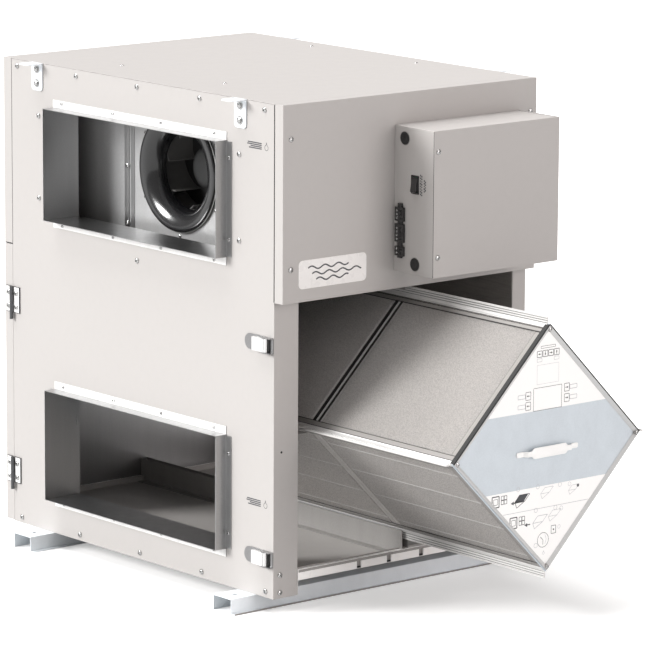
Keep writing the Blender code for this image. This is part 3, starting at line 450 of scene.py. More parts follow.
# ---- fasteners ---------------------------------------------------------------------------------
def pan_head(radius=0.0067, height=0.0036):
    """A pan-head screw with a cross recess, its seat at height 0."""
    arm, slot = radius * 0.60, radius * 0.15
    middle = (arm + slot) / 2
    quarter = [(arm, 0), (arm, slot), (middle, slot), (slot, slot), (slot, middle), (slot, arm)]
    cross = [Matrix.Rotation(math.pi / 2 * k, 2) @ Vector(point) for k in range(4) for point in quarter]
    rings = []
    for wide, rise in ((1.0, -0.08), (1.0, 0.28), (0.95, 0.56), (0.84, 0.80), (0.72, 0.93)):
        rings.append([(*(point.normalized() * radius * wide), height * rise) for point in cross])
    rings.append([(*point, height) for point in cross])
    rings.append([(*(point * 0.8), height * 0.30) for point in cross])
    bm = bmesh.new()
    add_rings(bm, rings)
    return as_mesh(bm, "pan_head")


def hex_bolt(radius=0.0068, height=0.0048):
    """A hexagon head on a washer, its seat at height 0."""
    bm = bmesh.new()
    washer = radius * 1.5
    add_turned(bm, [(0, 0.0014), (washer - 0.0004, 0.0014), (washer, 0.0010), (washer, -0.0003), (0, -0.0003)], Matrix(), 28)
    corners = [(radius * math.cos(math.pi * k / 3), radius * math.sin(math.pi * k / 3)) for k in range(6)]
    add_plate(bm, Matrix(), corners, height - 0.0012, 0.0012)
    crown = [(0, height + 0.0006), (radius * 0.70, height + 0.0005), (radius * 0.86, height - 0.0002), (0, height - 0.0002)]
    add_turned(bm, crown, Matrix(), 24)
    return as_mesh(bm, "hex_bolt")


PAN_HEAD = pan_head()
SMALL_HEAD = pan_head(0.0044, 0.0026)
HEX_BOLT = hex_bolt()


def screws(name, places, normal, body, mesh=PAN_HEAD, finish=SCREW_ZINC):
    """One group of like fasteners, each turned a little differently, as a driver leaves them."""
    bm = bmesh.new()
    for i, place in enumerate(places):
        stamp(bm, mesh, facing(place, normal) @ Matrix.Rotation(0.55 + 1.13 * i, 4, "Z"))
    return piece(name, bm, finish, body, smooth=38)


def mirrored(y):
    """The depth on the far side that answers depth y, as the end panels are symmetrical."""
    return WALL_FRONT + WALL_REAR - y


def spread(first, step, count):
    return [first + step * i for i in range(count)]


def case_screws():
    upper_z, lower_z, inset = TOP_Z - 0.017, 0.015, 0.066
    step = 0.237
    for side, x, normal in (("left", LEFT_X, LEFT), ("right", RIGHT_X, RIGHT)):
        places = [(x, SERVICE_Y + y, upper_z) for y in spread(inset, step, 5)]
        places += [(x, SERVICE_Y + y, lower_z) for y in spread(inset - 0.008, step, 5)]
        places += [(x, SERVICE_Y + y, z) for y in (0.157, 0.928) for z in (1.021, 0.821)]
        places.append((x, SERVICE_Y + 0.540, 0.721))
        screws(f"case_screws_{side}", places, normal, "cabinet")
        for level, top, sides in (("upper", 1.060, (1.007, 0.818)), ("lower", 0.370, (0.316, 0.127))):
            flange = x + normal.x * 0.0015
            low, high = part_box(f"duct_collar_{level}_{side}")
            bottom = low.z + high.z - top
            places = [(flange, SERVICE_Y + y, z) for y in (0.247, 0.447, 0.631, 0.832) for z in (top, bottom)]
            places += [(flange, y, z) for y in (low.y + 0.0095, high.y - 0.0095) for z in sides]
            screws(f"collar_screws_{level}_{side}", places, normal, "cabinet", SMALL_HEAD)
        for end in ("front", "rear"):
            low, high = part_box(f"hanging_bracket_{side}_{end}")
            y = (low.y + high.y) / 2
            places = [(x + normal.x * 0.0033, y, TOP_Z - drop) for drop in (0.016, 0.050)]
            screws(f"bracket_bolts_{side}_{end}", places, normal, "cabinet", HEX_BOLT)
    places = [(x, y, TOP_Z) for x in (-0.263, 0.326) for y in (-0.170, 0.223)]
    screws("roof_screws", places, UP, "cabinet", SMALL_HEAD)
    edge = 0.019
    for name, y, normal in (("front", WALL_FRONT, FRONT), ("rear", WALL_REAR, BACK)):
        if name == "front":
            places = [(x, y, z) for x in (LEFT_X + edge, RIGHT_X - edge) for z in (0.055, 0.014)]
            screws("post_screws_front", places, normal, "cabinet")
        face = SERVICE_Y if name == "front" else BACK_Y
        places = [(x, face, z) for x in (LEFT_X + 0.023, RIGHT_X - 0.023 + 0.004) for z in (1.071, 0.772)]
        screws(f"upper_panel_screws_{name}", places, normal, "cabinet")


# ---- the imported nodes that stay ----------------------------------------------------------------
EDGE_WIDTH = {"painted_sheet": 0.0005, "galvanised_sheet": 0.0004, "zinc_fittings": 0.0005, "polished_lever": 0.0010,
              "core_aluminium": 0.0004, "white_plastic": 0.0008, "black_plastic": 0.0006}


def smoothing_group():
    """Geometry nodes that shade smoothly over every edge that bends by less than 35 degrees."""
    group = bpy.data.node_groups.new("smooth_by_angle", "GeometryNodeTree")
    for way in ("INPUT", "OUTPUT"):
        group.interface.new_socket("Geometry", in_out=way, socket_type="NodeSocketGeometry")
    kinds = ("NodeGroupInput", "GeometryNodeSetShadeSmooth", "GeometryNodeSetShadeSmooth", "NodeGroupOutput")
    start, faces, edges, end = (group.nodes.new(kind) for kind in kinds)
    angle = group.nodes.new("GeometryNodeInputMeshEdgeAngle")
    blunt = group.nodes.new("FunctionNodeCompare")
    blunt.operation = "LESS_THAN"
    blunt.inputs[1].default_value = math.radians(35)
    edges.domain = "EDGE"
    group.links.new(angle.outputs[0], blunt.inputs[0])
    group.links.new(blunt.outputs[0], edges.inputs["Shade Smooth"])
    for a, b in ((start, faces), (faces, edges), (edges, end)):
        group.links.new(a.outputs[0], b.inputs[0])
    return group


def finish_packed_nodes():
    smoothing = smoothing_group()
    slots = {part["node"]: part["material_slot"] for part in frame["record"]["subparts"]}
    for name, obj in frame["nodes"].items():
        special = [finish for start, finish in BY_NAME.items() if name.startswith(start)]
        finish = special[0] if special else BY_SLOT[slots[name]]
        obj.data.materials.clear()
        obj.data.materials.append(finish.material)
        weld = obj.modifiers.new("weld", "WELD")
        weld.merge_threshold = 0.00001
        obj.modifiers.new("smooth", "NODES").node_group = smoothing
        round_edges(obj, EDGE_WIDTH.get(slots[name], 0.0004))
        obj.modifiers["edge_round"].harden_normals = True


# ---- the core --------------------------------------------------------------------------------
CORE_HALF = (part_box("core_block_front")[1].z - CORE_Z) / math.sqrt(2)
CORE_MIDDLE = (CORE_FRONT + CORE_REAR) / 2
ALONG_UPPER = Vector((1, 0, 1)).normalized()  # from the left corner to the top corner
ALONG_LOWER = Vector((-1, 0, 1)).normalized()  # from the right corner to the top corner
PLATE_PITCH = 0.0036
BORDER = 0.024
DIVIDER = 0.017
RIB_DEPTH = 0.010


def core_face(quarter):
    """A frame on one long face of the core: X along the face, Y along the core, Z out of the face."""
    turn = Matrix.Rotation(math.pi / 2 * quarter, 4, "Y") @ Matrix.Rotation(-math.pi / 4, 4, "Y")
    return Matrix.Translation((CORE_X, 0, CORE_Z)) @ turn @ Matrix.Translation((0, 0, CORE_HALF))


def cell_block(name, y0, y1, node):
    """Plates with pinched edges: each gap is closed on two faces, and the next gap on the other two."""
    bm, ribs, rods = bmesh.new(), bmesh.new(), bmesh.new()
    half, tip, base = CORE_HALF, 0.0006, 0.0011
    count = int((y1 - y0) / PLATE_PITCH)
    start = (y0 + y1 - count * PLATE_PITCH) / 2
    for quarter in range(4):
        frame_here = core_face(quarter)
        phase = 0.25 if quarter % 2 == 0 else 0.75
        for i in range(count):
            y = start + (i + phase) * PLATE_PITCH
            section = ((y - base, -RIB_DEPTH), (y + base, -RIB_DEPTH), (y + tip, 0), (y - tip, 0))
            add_prism(ribs, [frame_here @ Vector((-half, a, b)) for a, b in section],
                      frame_here.to_3x3() @ Vector((2 * half, 0, 0)))
        if quarter % 2:
            for offset in (0.147, 0.046, -0.052, -0.155):
                add_box_in(rods, frame_here, (offset - 0.0013, y0, -0.003), (offset + 0.0013, y1, -0.0002))
    made = piece(name, ribs, CELL_METAL, "core")
    piece(f"{name}_rods", rods, PALE_SEAL_AND_HIGHLIGHT, "core")
    # a dark box inside the plates: painted shade that shows through the gaps between them
    inner = half - RIB_DEPTH + 0.001
    add_box_in(bm, Matrix.Translation((CORE_X, 0, CORE_Z)) @ Matrix.Rotation(math.pi / 4, 4, "Y"),
               (-inner, y0, -inner), (inner, y1, inner))
    piece(f"{name}_depth", bm, SHADED_GAP_METAL, "core")
    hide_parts(node)


def add_box_in(bm, matrix, low, high):
    size = [abs(b - a) for a, b in zip(low, high)]
    middle = [(a + b) / 2 for a, b in zip(low, high)]
    bmesh.ops.create_cube(bm, size=1.0, matrix=matrix @ Matrix.Translation(middle) @ Matrix.Diagonal((*size, 1.0)))


def core_frames():
    """The sheet frames round each block with their black end seals, and on two faces a black floor in the channel
    between the blocks, which is painted shade.
    """
    frames, seal_and_shade, dividers, strips = (bmesh.new() for _ in range(4))
    half, skin = CORE_HALF, 0.0012
    front, rear = CORE_FRONT + CORE_CAP, CORE_REAR - CORE_CAP
    for quarter in range(4):
        here = core_face(quarter)
        for end, sign in ((front, 1), (rear, -1)):
            y0, y1 = sorted((end + sign * 0.005, end + sign * BORDER))
            add_box_in(frames, here, (-half, y0, -RIB_DEPTH), (half, y1, 0))
            y0, y1 = sorted((end + sign * 0.0003, end + sign * 0.0066))
            add_box_in(seal_and_shade, here, (-half, y0, -0.004), (half, y1, (0.0036, 0.0062, 0.0004, 0.0004)[quarter]))
            y0, y1 = sorted((end - sign * 0.0016, end + sign * 0.0002))
            add_box_in(strips, here, (-half, y0, -0.004), (half, y1, 0.0014))
        if quarter % 2 == 0:
            # black floor of the channel between the blocks: painted shade
            add_box_in(seal_and_shade, here, (-half, CORE_MIDDLE - DIVIDER, -RIB_DEPTH), (half, CORE_MIDDLE + DIVIDER, -0.004))
            for y in (CORE_MIDDLE, CORE_MIDDLE - DIVIDER + skin):
                add_box_in(strips, here, (-half, y - skin, -RIB_DEPTH), (half, y + skin, 0))
        else:
            add_box_in(dividers, here, (-half, CORE_MIDDLE - 0.014, -RIB_DEPTH), (half, CORE_MIDDLE - 0.0006, 0))
            add_box_in(dividers, here, (-half, CORE_MIDDLE + 0.0006, -RIB_DEPTH), (half, CORE_MIDDLE + 0.014, 0))
    piece("core_frames", frames, FRAME_METAL, "core", bevel=0.0003)
    piece("core_dividers", dividers, CELL_METAL, "core", bevel=0.0003)
    piece("core_edge_strips", strips, PROFILE_METAL, "core")
    piece("core_seal_and_channel_shade", seal_and_shade, RUBBER, "core")


def corner_profiles():
    """The ribbed extrusions over the four long corners, each with the fin that runs in the guides."""
    low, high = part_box("core_profile_top")
    tip = high.z - CORE_Z
    corner = CORE_HALF * math.sqrt(2)
    lift, leg, fin = 0.0022, 0.0145, 0.0015
    inner = corner + 0.0005
    step_out, step_in = 0.0066, 0.0050
    right = [(step_out, inner - step_out), (step_out, inner - step_out + 0.0024)]
    right += [(step_in, inner - step_in + 0.0016), (step_in, inner - step_in + 0.0034)]
    right += [(fin + 0.0016, inner + lift - fin), (fin, inner + lift + 0.0012)]
    for step in range(3):
        z = inner + 0.0062 + step * 0.0052
        right += [(fin, z), (fin + 0.0007, z + 0.0005), (fin + 0.0007, z + 0.0015), (fin, z + 0.0020)]
    right += [(fin, tip - 0.0004), (fin - 0.0004, tip)]
    outline = [(0, inner)] + right + [(-x, z) for x, z in reversed(right)]
    for quarter, name in enumerate(("top", "right", "bottom", "left")):
        turn = Matrix.Translation((CORE_X, 0, CORE_Z)) @ Matrix.Rotation(math.pi / 2 * quarter, 4, "Y")
        bm = bmesh.new()
        points = [turn @ Vector((x, low.y, z)) for x, z in outline]
        add_prism(bm, points, Vector((0, high.y - low.y, 0)))
        made = piece(f"ribbed_profile_{name}", bm, PROFILE_METAL, "core")
        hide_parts(f"core_profile_{name}")
        # dark strips along the leg edges and in the grooves between the ribs: painted shade
        legs, lines = bmesh.new(), bmesh.new()
        push = Vector((0, high.y - low.y, 0))
        for side in (-1, 1):
            shift = 0.0012
            band = ((leg, -leg), (leg + shift, shift - leg), (step_out + shift, shift - step_out), (step_out, -step_out))
            add_prism(legs, [turn @ Vector((side * x, low.y, inner + z)) for x, z in band], push)
            band = ((leg + 0.0004, -leg - 0.0004), (leg + 0.0009, -leg + 0.0001), (leg + 0.0021, -leg - 0.0011),
                    (leg + 0.0016, -leg - 0.0016))
            add_prism(lines, [turn @ Vector((side * x, low.y, inner + z)) for x, z in band], push)
            wide = 0.0030 if name in ("top", "right") else 0.0008
            band = ((step_out + wide, -step_out - wide + shift), (step_out + wide + 0.0006, -step_out - wide + shift + 0.0006),
                    (step_out + 0.0006, -step_out + shift + 0.0006), (step_out, -step_out + shift))
            add_prism(lines, [turn @ Vector((side * x, low.y, inner + z)) for x, z in band], push)
            for rise in (0.0048, 0.0102, 0.0154):
                corners = ((fin, rise), (fin + 0.0003, rise), (fin + 0.0003, rise + 0.0009), (fin, rise + 0.0009))
                add_prism(lines, [turn @ Vector((side * x, low.y, inner + z)) for x, z in corners], push)
        piece(f"profile_legs_{name}", legs, FRAME_METAL, "core")
        piece(f"profile_shade_lines_{name}", lines, RUBBER, "core")


def corner_keys():
    """The clip and the screw that close each corner of an end plate."""
    reach, clip = CORE_HALF * math.sqrt(2) - 0.0070, 0.0050
    clips = bmesh.new()
    for name, end, normal, tall in (("front", CORE_FRONT, FRONT, 0.0044), ("rear", CORE_REAR, BACK, 0.0018)):
        places = []
        for quarter in range(4):
            a = math.pi / 2 * quarter
            place = Vector((CORE_X + reach * math.cos(a), end, CORE_Z + reach * math.sin(a)))
            places.append(place + normal * tall)
            here = facing(place, normal) @ Matrix.Rotation(math.pi / 4, 4, "Z")
            add_box_in(clips, here, (-clip, -clip, -0.001), (clip, clip, tall))
        screws(f"end_plate_screws_{name}", places, normal, "core", SMALL_HEAD)
    piece("end_plate_clips", clips, FRAME_METAL, "core", bevel=0.0006)


def end_plate_rims():
    """The folded edge that stands round each end plate: flat on top, and sloped on the inside."""
    rim, gasket = bmesh.new(), bmesh.new()
    half, tall, behind = CORE_HALF + 0.0010, 0.0040, 0.0018
    top, foot = 0.0016, 0.0094
    for end, out in ((CORE_FRONT, -1), (CORE_REAR, 1)):
        section = ((half, -behind), (half, tall), (half - top, tall), (half - foot, -behind))
        rings = []
        for quarter in range(4):
            a = math.pi / 2 * quarter
            reach = Vector((math.cos(a), 0, math.sin(a))) * math.sqrt(2)
            rings.append([Vector((CORE_X, end + out * rise, CORE_Z)) + reach * across for across, rise in section])
        add_rings(rim, rings, looped=True)
        for quarter in range(2):
            y0, y1 = sorted((end + out * 0.0030, end - out * 0.0045))
            add_box_in(gasket, core_face(quarter), (-half, y0, 0.0008), (half, y1, 0.0046))
    piece("end_plate_rims", rim, RIM_METAL, "core", bevel=0.0004)
    piece("end_plate_gaskets", gasket, RUBBER, "core")


def smooth_share(value, start, end):
    share = max(0.0, min(1.0, (value - start) / (end - start)))
    return share * share * (3 - 2 * share)


def strap_handle():
    """A moulded strap: pads on the end plate, and a wider grip that stands clear of it."""
    low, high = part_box("core_handle")
    middle, half = (low.x + high.x) / 2, (high.x - low.x) / 2
    z = (low.z + high.z) / 2
    strap, tall = 0.0028, (high.z - low.z) / 2
    stand_off = high.y - low.y - strap
    bm = bmesh.new()
    rings = []
    steps = 56
    for i in range(steps + 1):
        x = half * (2 * i / steps - 1)
        away = abs(x)
        rise = stand_off * (1 - smooth_share(away, half - 0.028, half - 0.018))
        wide = tall * (0.5 + 0.5 * (1 - smooth_share(away, half - 0.046, half - 0.038)))
        wide *= 1 - 0.25 * smooth_share(away, half - 0.004, half)
        y = high.y - rise
        edge = 0.0009
        section = [(y, -wide + edge), (y - edge, -wide), (y - strap + edge, -wide), (y - strap, -wide + edge)]
        section += [(a, -b) for a, b in reversed(section)]
        rings.append([(middle + x, a, z + b) for a, b in section])
    add_rings(bm, rings)
    made = piece("strap_handle", bm, STRAP, "core", smooth=50)
    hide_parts("core_handle")


# ---- printed marks ---------------------------------------------------------------------------
class Print:
    """Flat marks on one plane, in raised ink: lines, frames, rings and arrows."""

    def __init__(self, matrix, thickness=0.00012):
        self.bm = bmesh.new()
        self.matrix = matrix
        self.thickness = thickness

    def shape(self, outline):
        add_plate(self.bm, self.matrix, outline, self.thickness, -0.00004)

    def bar(self, x, y, width, height):
        self.shape([(x - width / 2, y - height / 2), (x + width / 2, y - height / 2),
                    (x + width / 2, y + height / 2), (x - width / 2, y + height / 2)])

    def line(self, a, b, width):
        a, b = Vector(a), Vector(b)
        side = (b - a).normalized().orthogonal() * width / 2
        self.shape([a - side, b - side, b + side, a + side])

    def path(self, points, width, closed=False):
        for a, b in zip(points, points[1:] + (points[:1] if closed else [])):
            self.line(a, b, width)

    def frame(self, x, y, width, height, ink):
        w, h = width / 2, height / 2
        self.path([(x - w, y - h), (x + w, y - h), (x + w, y + h), (x - w, y + h)], ink, closed=True)

    def ring(self, x, y, radius, ink, steps=20):
        turns = [2 * math.pi * i / steps for i in range(steps)]
        self.path([(x + radius * math.cos(t), y + radius * math.sin(t)) for t in turns], ink, closed=True)

    def dot(self, x, y, radius, steps=12):
        turns = [2 * math.pi * i / steps for i in range(steps)]
        self.shape([(x + radius * math.cos(t), y + radius * math.sin(t)) for t in turns])

    def arrow(self, x, y, length, ink, direction=(-1, 0)):
        ahead = Vector(direction).normalized()
        side = ahead.orthogonal()
        tail, neck, tip = Vector((x, y)) - ahead * length / 2, Vector((x, y)), Vector((x, y)) + ahead * length / 2
        self.line(tail, neck, ink)
        self.shape([neck - side * length * 0.25, tip, neck + side * length * 0.25])

    def slab(self, x, y, size, ink):
        """A small tilted box, as a hint of a part."""
        w, h, d = size, size * 0.5, size * 0.45
        self.path([(x - w / 2, y), (x, y + h), (x + w, y + h), (x + w / 2, y)], ink, closed=True)
        self.path([(x - w / 2, y), (x - w / 3, y - d), (x + w / 2, y)], ink)

    def drop(self, x, y, size, ink):
        turns = [math.pi * (-0.92 + 1.84 * i / 14) for i in range(15)]
        loop = [(x + size * math.sin(t), y - size * math.cos(t)) for t in turns]
        self.path(loop + [(x, y + size * 2.0)], ink, closed=True)

    def done(self, name, finish, body):
        return piece(name, self.bm, finish, body)


def end_plate_sheet(front=True):
    """The stickers on the front end plate, above and below the bare band, with their drawings."""
    sunk = 0.0022
    y = CORE_FRONT + sunk
    reach = (CORE_HIGH.z - CORE_LOW.z) / 2 - 0.009 * math.sqrt(2) - 0.0012
    plane = facing((CORE_X, y, CORE_Z), FRONT)
    film = 0.00022
    for name, sign, edge in (("upper", 1, 0.090), ("lower", -1, 0.086)):
        half = reach - edge
        bm = bmesh.new()
        add_plate(bm, plane, [(-half, sign * edge), (half, sign * edge), (0.002, sign * (reach - 0.002)), (-0.002, sign * (reach - 0.002))],
                  film, -0.00005)
        piece(f"end_plate_sticker_{name}", bm, STICKER, "core")
    top = facing((CORE_X, y - film + 0.00005, CORE_Z), FRONT)
    dark, faint = Print(top), Print(top)
    for i in range(4):
        x = -0.026 + 0.0173 * i
        dark.frame(x, 0.219, 0.0150, 0.0140, 0.0013)
        dark.arrow(x, 0.219, 0.0095, 0.0014, ((-1, 0), (0, -1), (1, 0), (0, 1))[i])
    dark.frame(0, 0.234, 0.044, 0.005, 0.0009)
    for i in (0, 3):
        faint.frame(-0.026 + 0.0173 * i, 0.205, 0.0145, 0.007, 0.0010)
    faint.frame(0, 0.172, 0.066, 0.044, 0.0007)
    dark.frame(0, 0.116, 0.086, 0.052, 0.0010)
    for side in (-1, 1):
        for z in (0.127, 0.104) if side < 0 else (0.133, 0.109):
            dark.frame(side * 0.059, z, 0.015, 0.018, 0.0012)
            dark.arrow(side * 0.059, z, 0.010, 0.0015, (side, 0))
            faint.frame(side * 0.079, z, 0.022, 0.009, 0.0014)
    clear = reach - 0.006
    faint.line((0.137 - clear, -0.137), (clear - 0.137, -0.137), 0.0012)
    for row, z in enumerate((-0.104, -0.160)):
        x = (-0.154, -0.099)[row]
        dark.frame(x, z, 0.021, 0.025, 0.0024)
        dark.frame(x, z, 0.012, 0.013, 0.0010)
        for k in range(4):
            dark.frame(x + 0.021 + 0.0090 * (k % 2), z - 0.003 + 0.0100 * (k // 2), 0.0080, 0.0090, 0.0013)
        dark.arrow(x + (0.055, 0.042)[row], z - 0.010, 0.018, 0.0026)
        (dark if row == 0 else faint).slab(x + 0.074, z - 0.009, 0.030, 0.0014)
        faint.slab(x + 0.150 - 0.030 * row, z, 0.026, 0.0011)
        faint.ring(x + 0.068, z + 0.020, 0.0050, 0.0010)
        faint.ring(x + 0.128, z + 0.018, 0.0050, 0.0010)
        faint.ring(x + 0.196 - 0.050 * row, z + 0.014, 0.0050, 0.0010)
    dark.shape([(-0.099, -0.115), (-0.082, -0.097), (-0.054, -0.097), (-0.070, -0.115)])
    faint.slab(0.080, -0.108, 0.022, 0.0010)
    dark.dot(0.098, -0.100, 0.0036)
    faint.ring(0.072, -0.093, 0.0045, 0.0008)
    dark.ring(-0.008, -0.212, 0.017, 0.0011)
    dark.path([(-0.016, -0.204), (-0.008, -0.212), (-0.008, -0.223)], 0.0012)
    faint.path([(-0.002, -0.200), (0.002, -0.211), (-0.002, -0.222)], 0.0010)
    dark.frame(0.024, -0.192, 0.014, 0.018, 0.0013)
    dark.dot(0.024, -0.192, 0.0022)
    faint.ring(0.041, -0.188, 0.0042, 0.0008)
    faint.ring(-0.030, -0.222, 0.0052, 0.0010)
    faint.drop(-0.006, -0.243, 0.0030, 0.0009)
    dark.done("end_plate_drawings", INK, "core")
    faint.done("end_plate_faint_drawings", FAINT_INK, "core")


def end_wall_labels():
    """A small printed panel near each duct collar: rule lines with a drop beside them."""
    for side, x, normal in (("left", LEFT_X, LEFT), ("right", RIGHT_X, RIGHT)):
        marks = Print(facing((x, 0, 0), normal))
        turn = -1 if side == "left" else 1
        for z in (1.0485, 0.2185):
            y = SERVICE_Y + 0.1025
            for row in range(4):
                length = (0.050, 0.052, 0.040, 0.046)[row]
                marks.bar(turn * (y - (0.052 - length) / 2), z + 0.0060 - 0.0042 * row, length, 0.0027)
            marks.drop(turn * (SERVICE_Y + 0.0595), z - 0.002, 0.0062, 0.0013)
        marks.done(f"end_wall_marks_{side}", INK, "cabinet")


def badge():
    """A round-cornered plate with three air waves on it."""
    half_x, half_z = 0.101, 0.033
    x, z = LEFT_X + 0.147, DECK_Z + 0.063
    bm = bmesh.new()
    plane = facing((x, SERVICE_Y, z), FRONT)
    add_plate(bm, plane, rounded(half_x, half_z, 0.011), 0.0012, -0.0001)
    made = piece("front_badge", bm, BADGE_FILM, "cabinet", bevel=0.0004)
    marks = Print(facing((x, SERVICE_Y - 0.0011, z), FRONT))
    for row in range(3):
        count, length = 26, (0.120, 0.146, 0.096)[row]
        start = -0.073 + 0.012 * row
        points = []
        for i in range(count + 1):
            along = start + length * i / count
            points.append((along, 0.014 - 0.014 * row + 0.0038 * math.sin((along - start) / 0.020 * math.pi)))
        marks.path(points, 0.0034)
    marks.done("front_badge_waves", INK, "cabinet")


# ---- control box -----------------------------------------------------------------------------
def control_box_details():
    left = BOX_X0
    grommets, rims = bmesh.new(), bmesh.new()
    for back, z in ((0.036, 1.050), (0.074, 0.761)):
        here = facing((left, SERVICE_Y - back, z), LEFT)
        add_turned(grommets, [(0, 0.0012), (0.006, 0.0014), (0.0075, 0.0024), (0.0125, 0.0030), (0.0150, 0.0018),
                              (0.0152, -0.0002), (0, -0.0002)], here, 40)
        add_turned(rims, [(0.0151, 0.0006), (0.0166, 0.0004), (0.0168, -0.0001), (0.0151, -0.0001)], here, 40)
    piece("cable_grommets", grommets, RUBBER, "cabinet", smooth=40)
    piece("grommet_rims", rims, FRAME_METAL, "cabinet", smooth=40)
    low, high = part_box("switch_rocker")
    y, z = (low.y + high.y) / 2, (low.z + high.z) / 2
    bezel = bmesh.new()
    here = facing((left, y, z), LEFT)
    outer, inner = rounded(0.0137, 0.0217, 0.0018, 3), rounded(0.0109, 0.0192, 0.0010, 3)
    levels = ((outer, -0.0002), (outer, 0.0012), (inner, 0.0020), (inner, -0.0002))
    add_rings(bezel, [[here @ Vector((a, b, h)) for a, b in line] for line, h in levels], looped=True)
    piece("switch_bezel", bezel, BLACK, "cabinet", smooth=30)
    marks = Print(facing((left, y, z), LEFT))
    for column, top, count in ((0.0185, 0.0235, 8), (0.0230, 0.0215, 8), (0.0315, 0.0125, 5), (0.0355, 0.0095, 4)):
        for i in range(count):
            marks.bar(column, top - 0.0062 * i, 0.0034 + 0.0006 * (i % 2), 0.0044 - 0.0008 * (i % 3))
    marks.done("switch_marks", INK, "cabinet")
    ports, heads = [], []
    low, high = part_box("field_connector")
    step = 0.0085
    for base, count in ((0.7825, 2), (0.8145, 4), (0.8635, 3)):
        for i in range(count):
            ports.append((low.x, low.y + 0.0085, base + step * i))
            heads.append((low.x, high.y - 0.0075, base + step * i))
    screws("connector_screws", heads, LEFT, "cabinet", pan_head(0.0026, 0.0012))
    bm = bmesh.new()
    for place in ports:
        add_turned(bm, [(0.0018, 0.0010), (0.0030, 0.0008), (0.0031, -0.0002), (0.0018, -0.0002)], facing(place, LEFT), 16)
    piece("connector_ports", bm, RUBBER, "cabinet", smooth=40)
    places = [(COVER_LOW.x + 0.0125, COVER_LOW.y, z) for z in (1.029, 0.784)]
    places += [(COVER_HIGH.x - 0.016, COVER_LOW.y, z) for z in (1.029, 0.784)]
    screws("cover_screws", places[:2], FRONT, "control_cover")


def board_parts():
    """The controller board with its parts, which show when the cover is open."""
    low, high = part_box("controller_board")
    face = high.y - 0.012 - 0.0016
    bm = bmesh.new()
    add_box(bm, (low.x, face, low.z), (high.x, face + 0.0016, high.z))
    board = piece("board_sheet", bm, BOARD, "cabinet", bevel=0.0002)
    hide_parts("controller_board")
    posts = bmesh.new()
    for x in (low.x + 0.014, high.x - 0.014):
        for z in (low.z + 0.014, high.z - 0.014):
            add_turned(posts, [(0, 0.014), (0.003, 0.014), (0.0034, 0.0136), (0.0034, 0.0), (0, 0.0)],
                       facing((x, high.y, z), FRONT), 16)
    piece("board_standoffs", posts, SCREW_ZINC, "cabinet", smooth=40)
    black, steel, pale = bmesh.new(), bmesh.new(), bmesh.new()
    x, z = low.x + 0.02, high.z - 0.09
    add_box(steel, (x, face - 0.034, z), (x + 0.060, face - 0.004, z + 0.060))
    add_box(pale, (x + 0.008, face - 0.045, z + 0.010), (x + 0.052, face, z + 0.050))
    for i in range(3):
        x = low.x + 0.12 + 0.03 * i
        add_box(black, (x, face - 0.016, low.z + 0.09), (x + 0.018, face, low.z + 0.12))
    for i in range(14):
        x = low.x + 0.024 + 0.0185 * i
        add_box(pale, (x, face - 0.014, low.z + 0.006), (x + 0.0175, face, low.z + 0.022))
    for i in range(4):
        x, z = low.x + 0.115 + 0.034 * (i % 2), high.z - 0.050 - 0.036 * (i // 2)
        add_turned(black, [(0, 0.026), (0.0085, 0.026), (0.0100, 0.0245), (0.0100, 0), (0, 0)], facing((x, face, z), FRONT), 24)
    for i in range(3):
        x, z = high.x - 0.075, low.z + 0.09 + 0.045 * i
        add_box(black, (x, face - 0.004, z), (x + 0.028, face, z + 0.028))
    piece("board_black_parts", black, BLACK, "cabinet", bevel=0.0006)
    piece("board_steel_parts", steel, CASTING, "cabinet", bevel=0.0010)
    piece("board_terminals", pale, WHITE, "cabinet", bevel=0.0006)
    wires = bmesh.new()
    for i in range(7):
        x = low.x + 0.034 + 0.0185 * i
        start = (x, face - 0.012, low.z + 0.008)
        side = (BOX_X0 + 0.012, SERVICE_Y - 0.070 + 0.002 * i, 0.764)
        add_tube(wires, [start, (x - 0.004, face - 0.020, low.z - 0.012), ((x + side[0]) / 2, face - 0.030, low.z - 0.020), side], 0.0016)
    piece("board_wires", wires, RUBBER, "cabinet", smooth=60)


# ---- fans ------------------------------------------------------------------------------------
def fan_frame(side):
    """A frame on the fan's axis in the plane between the two fans. Its Z runs out to the end wall."""
    return facing((CORE_X, FAN_Y, FAN_Z), LEFT if side == "left" else RIGHT)


